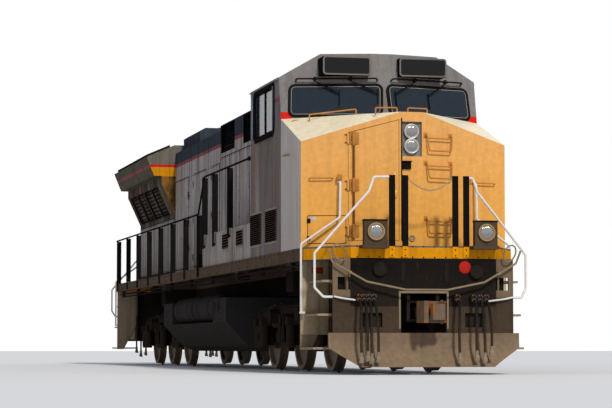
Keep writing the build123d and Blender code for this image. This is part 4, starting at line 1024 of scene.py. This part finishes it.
def add_nose_irons():
    """Grab irons, rails, stud bars and side handles, the door's hinge and seal, the hatch and its bare label."""
    right, left = nose_face(1), nose_face(-1)
    irons, hinge, dark = [], [], []
    for top, foot in IRONS_Z:
        irons.append(bar_on("iron", right, ((0.05, top, -0.004), (0.05, top, 0.050), (0.075, foot, 0.070),
                                            (0.455, foot, 0.070), (0.480, top, 0.050), (0.480, top, -0.004)), 0.011))
        irons.append(bar_on("iron_bar", right, ((0.06, top - 0.045, 0.056), (0.475, top - 0.045, 0.056)), 0.010))
        for along in (0.05, 0.48):
            irons.append(block_on("iron_foot", right, (along - 0.030, top - 0.035, -0.002),
                                  (along + 0.030, top + 0.035, 0.012)))
    for start, end, reach in RIDGE_RAILS:
        down = Vector((0, 0, -reach))
        irons.append(bent("ridge_rail", [Vector(start) + down, start, end, Vector(end) + down], 0.011, 0.025))
    for z in HINGE_PLATES:
        hinge.append(block_on("leaf", left, (0.600, z - 0.085, -0.002), (0.742, z + 0.085, 0.012)))
        hinge.append(drum("knuckle", left @ Vector((HINGE_ALONG, z - 0.10, 0.030)),
                          left @ Vector((HINGE_ALONG, z + 0.10, 0.030)), 0.024, 14, 0.003))
    assemble("nose_door_hinge_leaves", hinge, "iron", "nose_door")
    rod = bar_on("nose_door_hinge_rod", left, ((HINGE_ALONG, 1.935, 0.030), (HINGE_ALONG, 3.470, 0.030)), 0.015)
    finish(rod, "rusty_rod", "nose_door")
    for side, ends, z in ((left, (0.98, 1.31), 2.800), (right, (0.86, 1.24), 2.760)):
        irons.append(bar_on("stud_bar", side, ((ends[0], z, -0.004), (ends[0], z, 0.050), (ends[1], z, 0.050),
                                               (ends[1], z, -0.004)), 0.010))
        irons.append(block_on("rail_bracket", side, (ends[0] - 0.13, z - 0.03, -0.002),
                              (ends[0] - 0.07, z + 0.05, 0.09)))
    for side in (-1, 1):
        irons.append(side_grip("side_handle", side, (1.528, 1.561), (-8.62, 3.22), (-8.38, 3.22), 0.011))
    assemble("nose_irons", irons, "iron")
    dark.append(slab("door_seal", (-0.158, -9.962, 1.900), (-0.142, -9.948, 3.660), 0.002))
    dark.append(loop_on(left, (0.790, 1.340, 1.866, 2.264), 0, 0.010, 0.002, 0.0045))
    for z in (1.94, 2.19):
        dark.append(block_on("hatch_hinge", left, (1.300, z - 0.03, -0.002), (1.350, z + 0.03, 0.016)))
    assemble("nose_seams", dark, "black_steel")
    label = block_on("blank_label", left, (1.215, 2.195, -0.001), (1.315, 2.248, 0.003), 0)
    finish(label, "bare_plate")


def chain(name, start, end, sag):
    """Welded links hanging between two hooks."""
    start, end = Vector(start), Vector(end)
    link = ring("link", (0, 0, 0), (0, 0, 1), 0.0125, 0.0042, 14, 5)
    for vertex in link.data.vertices:
        vertex.co.x *= 1.75
    count = max(4, int((end - start).length * (1 + 2 * sag) / LINK_PITCH))
    matrices = []
    for number in range(count):
        t = (number + 0.5) / count
        drop = Vector((0, 0, -4 * sag * t * (1 - t)))
        slope = (end - start) + Vector((0, 0, -4 * sag * (1 - 2 * t)))
        turn = slope.to_track_quat("X", "Z").to_matrix().to_4x4()
        roll = Matrix.Rotation(math.pi / 2 * (number % 2), 4, "X")
        matrices.append(Matrix.Translation(start.lerp(end, t) + drop) @ turn @ roll)
    piece = repeated(name, link, matrices)
    bpy.data.objects.remove(link)
    alone(piece)
    bpy.ops.object.shade_smooth()
    return piece


def add_platform_trim():
    """Receptacles, caps, plates, bolts, chains, lever loops, stanchion lips and bars at both ends."""
    y = -PLATFORM_END
    dark = []
    for x, z in ((-0.640, 1.470), (0.760, 1.440)):
        dark += [drum("receptacle", (x, y + 0.033, z), (x, y - 0.035, z), 0.088, 24, 0.006),
                 drum("receptacle_lid", (x, y - 0.035, z), (x, y - 0.052, z), 0.088 * 1.12, 24, 0.005),
                 bent("lid_spring", [(x - 0.05, y - 0.03, z + 0.055), (x, y - 0.055, z + 0.070),
                                     (x + 0.05, y - 0.03, z + 0.055)], 0.006)]
    dark += [slab("bracket", (x - 0.03, y - 0.012, 1.30), (x + 0.03, y + 0.033, 1.56), 0.004) for x in (-0.30, 0.33)]
    plate = slab("bare_plate", (0.02, y + 0.020, 1.395), (0.245, y + 0.0335, 1.470), 0.002)
    cap = [drum("cap", (0.600, y + 0.034, 1.500), (0.600, y - 0.020, 1.500), 0.084, 28, 0.008),
           ring("cap_rim", (0.600, y - 0.004, 1.500), (0, 1, 0), 0.084, 0.006, 30, 6)]
    sign = slab("bare_red_plate", (-1.376, -9.553, 1.435), (-1.216, -9.5455, 1.522), 0.002)
    eyes = [ring("eye", (x, y - 0.007, 2.745), (0, 1, 0), 0.013, 0.0045, 16, 6) for x in (-0.220, 0.410)]
    bolts = [((x, y - 0.014, z), (0, -1, 0)) for x in STANCHIONS_X for z in (1.665, 1.745)]
    bolts += [((-0.96 + number * 0.16, y, z), (0, -1, 0)) for number in range(13) for z in (1.790, 1.640)]
    heads = bolt_heads("bolts", bolts, 0.011, 0.009)
    hanging = chain("chain", (-0.215, y - 0.007, 2.735), (0.405, y - 0.007, 2.735), 0.15)
    turns = [math.tau * step / 24 for step in range(24)]
    loops = [wire("lever_loop", [(x + 0.085 * math.cos(a) + lean * math.sin(a), y - 0.085, 1.700 + 0.115 * math.sin(a))
                                 for a in turns], 0.011, closed=True) for x, lean in ((-1.235, -0.03), (1.235, 0.03))]
    lips = [slab("lip", (x + a, y - 0.030, 1.795), (x + a + 0.010, y - 0.010, 2.785), 0.002)
            for x in STANCHIONS_X for a in (-0.042, 0.032)]
    bars = [bent("foot_bar", [(side * 1.300, y - 0.025, 1.085), (side * 1.180, y - 0.050, 1.060),
                              (side * 0.880, y - 0.050, 1.020)], 0.013, 0.03) for side in (-1, 1)]
    angles = [slab("angle", (x0, y - 0.004, z0), (x1, y + 0.030, z1), 0.004) for x0, x1, z0, z1 in (
        (-0.360, 0.360, 1.135, 1.165), (-0.362, -0.335, 0.640, 1.150), (0.335, 0.362, 0.640, 1.150))]
    for name, parts, look, slot in (
            ("receptacles", dark, "black_steel", None), ("bare_plate", [plate], "bare_plate", None),
            ("red_cap", cap, "red_paint", None), ("chain_eyes", eyes, "lamp_tan", None),
            ("platform_bolts", [heads], "dark_bolt", None), ("lever_loops", loops, "lever", "black_steel"),
            ("stanchion_lips", lips, "black_steel", None), ("foot_bars", bars, "rail_white", None),
            ("pocket_frame", angles, "lever", "black_steel"), ("chains", [hanging], "chain", None)):
        piece = one_piece(name + "_front", parts)
        finish(turned_back(piece, name + "_rear"), look)
        finish(piece, look)
    finish(sign, "red_paint")


BRACES = (
    # reach from the middle, place along and height of each upright plate
    ((0.520, 1.020), (-10.500, -10.485), (0.560, 0.960)),
    ((1.040, 1.085), (-10.505, -10.200), (1.100, 1.440)),
    ((0.560, 0.575), (-10.535, -10.300), (0.600, 1.050)),
    ((0.950, 0.965), (-10.535, -10.300), (0.600, 1.050)),
    ((0.400, 1.120), (-9.660, -9.640), (0.600, 1.610)),
    ((1.010, 1.210), (-10.445, -10.435), (1.170, 1.410)),
)


def add_pilot_braces():
    """Upright plates behind the pilot's openings, in the platforms' corners and behind the step wells, those last in a
    bright tan as painted sunlight.
    """
    for end, half_turn in ENDS:
        turn = Matrix.Rotation(half_turn, 4, "Z")
        parts = [side_slab("brace", side, *box) for side in (-1, 1) for box in BRACES]
        parts.append(slab("back_plate", (-0.345, -9.690, 1.045), (0.345, -9.675, 1.245)))
        # The well backs take a bright tan as painted sunlight.
        wells = [side_slab("well_back", side, (1.130, 1.535), (-9.545, -9.530), (0.560, 1.612)) for side in (-1, 1)]
        finish(moved(one_piece("step_well_backs_" + end, wells), turn), "sunlit_well_tan")
        finish(moved(one_piece("pilot_braces_" + end, parts), turn), "truck_steel")


# Sides
PANEL_ROWS = (
    # front and rear edge, low, high, number of panels
    (-5.550, -0.050, 2.450, 3.860, 6),
    (0.060, 0.860, 1.960, 3.780, 1),
    (1.480, 2.860, 1.960, 3.780, 2),
    (3.480, 5.040, 1.960, 3.780, 2),
    (5.160, 9.940, 1.960, 3.040, 6),
)


def panels(gap):
    """Every hood panel's front, rear, low and high edge, with a gap to its neighbours."""
    for front, rear, low, high, count in PANEL_ROWS:
        pitch = (rear - front) / count
        for number in range(count):
            yield front + number * pitch + gap, front + (number + 1) * pitch - gap, low, high


def add_side_bolts():
    """Rows of bolts along the sills and round the hood's removable panels."""
    sill, hood = [], []
    for side in (-1, 1):
        out = (side, 0, 0)
        for number in range(56):
            y = -9.40 + number * 18.8 / 55
            sill += [((side * 1.540, y, z), out) for z in (1.765, 1.655)[:1 + number % 2]]
        x = side * (HOOD_HALF + 0.010)
        for y0, y1, low, high in panels(0.040):
            for step in range(6):
                y = y0 + (y1 - y0) * step / 5
                hood += [((x, y, z), out) for z in (low + 0.022, high - 0.022)]
            hood += [((x, y0 - 0.005, low + (high - low) * step / 6), out) for step in range(1, 6)]
    finish(bolt_heads("sill_bolts", sill, 0.012, 0.009), "dark_bolt")
    finish(bolt_heads("panel_bolts", hood, 0.009, 0.006), "dark_bolt")


def add_hood_handles():
    """Pull handles and latch bars on the hinged hood doors."""
    for side, name in ((-1, "right"), (1, "left")):
        for number, y in ((1, 0.900), (2, 2.900)):
            parts = []
            for z in (2.35, 2.87, 3.40):
                parts.append(side_grip("pull", side, (HOOD_HALF, HOOD_HALF + 0.035), (y + 0.47, z - 0.07),
                                       (y + 0.47, z + 0.07), 0.008))
                parts.append(side_slab("keeper", side, (HOOD_HALF, HOOD_HALF + 0.014), (y + 0.500, y + 0.532),
                                       (z - 0.03, z + 0.03)))
            body = "hood_door_%s_%d" % (name, number)
            assemble(body + "_handles", parts, "black_steel", body)


# Tank and running gear
FILLER = (-2.500, 1.080)
TRUCK_CENTRE = 6.310
AXLES_Y = (-2.040, 0.0, 2.040)
AXLE_Z = 0.5615


def add_tank_trim():
    """Fillers with their grips, level gauges, drains and bolts on the fuel tank."""
    caps, bolts = [], []
    y, z = FILLER
    for side in (-1, 1):
        x = side * 1.500
        caps += [drum("filler", (x, y, z), (x + side * 0.030, y, z), 0.062, 20, 0.006),
                 ring("filler_ring", (x + side * 0.004, y, z), (1, 0, 0), 0.072, 0.008, 28, 6),
                 side_grip("filler_grip", side, (1.528, 1.555), (y - 0.045, z), (y + 0.045, z), 0.007),
                 side_slab("gauge", side, (1.438, 1.462), (-2.02, -1.97), (0.86, 1.19), 0.008)]
        bolts += [((side * 1.450, along, up), (side, 0, 0)) for along in (-2.78, -2.20, 3.0)
                  for up in (0.86, 0.97, 1.08, 1.19)]
        caps += [drum("drain", (side * 1.21, along, 0.850), (side * 1.21, along, 0.830), 0.02, 10, 0.003)
                 for along in (-1.80, 0.16, 0.38, 2.34)]
    assemble("tank_fillers", caps, "tank_grey")
    finish(bolt_heads("tank_bolts", bolts, 0.014, 0.010), "dark_bolt")


def add_truck_trim():
    """Dampers, axle caps with their bolts, and brake pipes on both trucks."""
    for name, centre in (("front", -TRUCK_CENTRE), ("rear", TRUCK_CENTRE)):
        parts, bolts, pipes = [], [], []
        for side in (-1, 1):
            for y in (centre + axle for axle in AXLES_Y):
                bolts += [((side * 1.112, y + 0.078 * math.cos(angle), AXLE_Z + 0.078 * math.sin(angle)), (side, 0, 0))
                          for angle in (math.pi / 3 * step for step in range(6))]
                parts.append(drum("cap", (side * 1.110, y, AXLE_Z), (side * 1.124, y, AXLE_Z), 0.045, 20, 0.005))
            for y in (centre - 0.120, centre + 0.120):
                x = side * 1.125
                parts.append(drum("damper", (x, y, 0.470), (x, y, 0.700), 0.034, 16, 0.004))
                parts.append(drum("damper_rod", (x, y, 0.700), (x, y, 0.880), 0.022, 14, 0.003))
                parts += [drum("eye", (side * 0.960, y, z), (side * 1.160, y, z), 0.024, 14, 0.003)
                          for z in (0.470, 0.880)]
            pipes.append(bent("brake_pipe", [(side * 0.985, centre + y, z) for y, z in (
                (-2.50, 0.960), (-1.60, 1.030), (1.60, 1.030), (2.50, 0.960))], 0.016, 0.10))
            pipes += [side_slab("pipe_clip", side, (0.955, 1.005), (centre + y - 0.02, centre + y + 0.02),
                                (1.005, 1.050)) for y in (-1.30, 0.0, 1.30)]
        body = name + "_truck"
        assemble("truck_dampers_" + name, parts, "truck_steel", body)
        assemble("brake_pipes_" + name, pipes, "truck_steel", body)
        finish(bolt_heads("axle_cap_bolts_" + name, bolts, 0.013, 0.010), "dark_bolt", body)


def add_side_posts():
    """Forward webs that make each flat side stanchion an angle, in black as painted shadows of the posts, and pipes
    along the sills.
    """
    posts = [(y, 2.370, 3.375) for y in (-4.0, -2.6, -1.6)]
    posts += [(-1.05 + 1.5 * (number - 0.033 * (number > 0)), 1.802, 2.745) for number in range(8)]
    webs, pipes = [], []
    for side in (-1, 1):
        # Painted shadow: the webs are black, as the shade beside each post.
        webs += [side_slab("web", side, (1.478, 1.5725), (y - 0.046, y - 0.034), (foot, top))
                 for y, foot, top in posts]
        pipes += [drum("sill_pipe", (side * x, -9.2, z), (side * x, 9.2, z), radius, 12, 0)
                  for x, z, radius in ((1.500, 1.555, 0.018), (1.470, 1.500, 0.013))]
        pipes += [side_slab("hanger", side, (1.455, 1.522), (y - 0.015, y + 0.015), (1.482, 1.622))
                  for y in (-8.8 + number * 2.2 for number in range(9))]
    assemble("stanchion_webs_shadow", webs, "black_steel")
    assemble("sill_pipes", pipes, "truck_steel")


def add_hood_panels():
    """Fixed doors and panels standing a little proud of the hood's sides, with dark joints round them."""
    flats, joints = [], []
    inner = HOOD_HALF - 0.002
    for side in (-1, 1):
        for y0, y1, low, high in panels(0.022):
            flats.append(side_slab("panel", side, (inner, HOOD_HALF + 0.008), (y0, y1), (low, high), 0.004))
            joints.append(side_slab("joint", side, (inner, HOOD_HALF + 0.0015), (y0 - 0.018, y1 + 0.018),
                                    (low - 0.018, high + 0.018), 0))
    assemble("hood_panels", flats, "side_grey")
    assemble("hood_joints", joints, "black_steel")


LOUVRE_VENTS = (
    # front and rear edge, low, high, number of blades, distance of the wall from the middle
    (-7.800, -7.030, 1.990, 2.460, 15, 1.530),
    (-6.640, -5.850, 1.990, 2.460, 15, 1.530),
    (-5.080, -4.600, 2.050, 2.280, 5, 1.520),
    (-3.800, -3.340, 2.050, 2.280, 5, 1.520),
)


def add_louvre_slots():
    """Black strips as painted shade in the gaps between the louvre blades."""
    slots = []
    for side in (-1, 1):
        for front, rear, low, high, count, face in LOUVRE_VENTS:
            pitch = (high - low) / count
            for z in (low + (number + 0.5) * pitch for number in range(count)):
                slots.append(side_slab("slot", side, (face + 0.006, face + 0.0235), (front + 0.020, rear - 0.020),
                                       (z - pitch * 0.26, z + pitch * 0.26), 0))
    assemble("louvre_slot_shade", slots, "screens")


add_cab_trim()
add_sashes()
add_number_boards()
add_lamps()
add_nose_trim()
add_nose_irons()
add_platform_trim()
add_pilot_braces()
add_side_bolts()
add_hood_handles()
add_tank_trim()
add_truck_trim()
add_side_posts()
add_hood_panels()
add_louvre_slots()


def dress_nodes():
    """Each carried-over node takes the finish of its slot, apart from those with one of their own."""
    special = {"radiator_housing": "wing", "plow_front": "plow", "louvre_panels": "louvres",
               "radiator_grilles": "grilles", "brake_grid_screens": "screens", "end_rails_front": "end_rails",
               "end_rails_rear": "end_rails", "front_lamps": "lamps", "cut_lever_front": "lever",
               "cut_lever_rear": "lever", "exhaust_hump": "side_grey"}
    for part in frame["record"]["subparts"]:
        name = part["node"]
        mesh = nodes[name].data
        mesh.materials.clear()
        mesh.materials.append(FINISH[special.get(name, part["material_slot"])])


dress_nodes()


# Floor, light and background
def floor_material(color):
    """A plain matt surface."""
    material = bpy.data.materials.new("floor")
    material.use_nodes = True
    tree = material.node_tree
    tree.nodes.clear()
    plain = place(tree, "ShaderNodeBsdfDiffuse", {"Color": color})
    place(tree, "ShaderNodeOutputMaterial", {0: plain.outputs[0]})
    return material


def add_stage():
    """A pale floor under the wheels and a white world, with a soft key from the front."""
    bpy.ops.object.select_all(action="DESELECT")
    bpy.ops.mesh.primitive_plane_add(size=1.0, location=(0, 0, -0.002))
    floor = bpy.context.object
    floor.name = "floor"
    floor.scale = (400, 400, 1)
    settle(floor)
    floor.data.materials.append(floor_material((0.86, 0.86, 0.86, 1)))
    world = bpy.data.worlds.new("world")
    bpy.context.scene.world = world
    world.use_nodes = True
    tree = world.node_tree
    tree.nodes.clear()
    output = tree.nodes.new("ShaderNodeOutputWorld")
    path = tree.nodes.new("ShaderNodeLightPath")
    seen = math_node(tree, "MAXIMUM", path.outputs["Is Camera Ray"], path.outputs["Is Transmission Ray"])
    seen = math_node(tree, "MAXIMUM", seen, path.outputs["Is Glossy Ray"])
    lit = place(tree, "ShaderNodeBackground", {"Color": (0.82, 0.88, 1.0, 1), "Strength": 0.42})
    white = place(tree, "ShaderNodeBackground", {"Color": (1, 1, 1, 1), "Strength": 1.0})
    chosen = place(tree, "ShaderNodeMixShader", {0: seen, 1: lit.outputs[0], 2: white.outputs[0]})
    tree.links.new(chosen.outputs[0], output.inputs[0])
    sun = bpy.data.lights.new("key", "SUN")
    sun.energy = 2.25
    sun.angle = math.radians(5)
    sun.color = (1.0, 0.96, 0.90)
    key = bpy.data.objects.new("key", sun)
    key.rotation_euler = Vector((-0.08, 0.79, -0.61)).to_track_quat("-Z", "Y").to_euler()
    bpy.context.scene.collection.objects.link(key)


add_stage()
bpy.context.scene.view_settings.view_transform = "Standard"
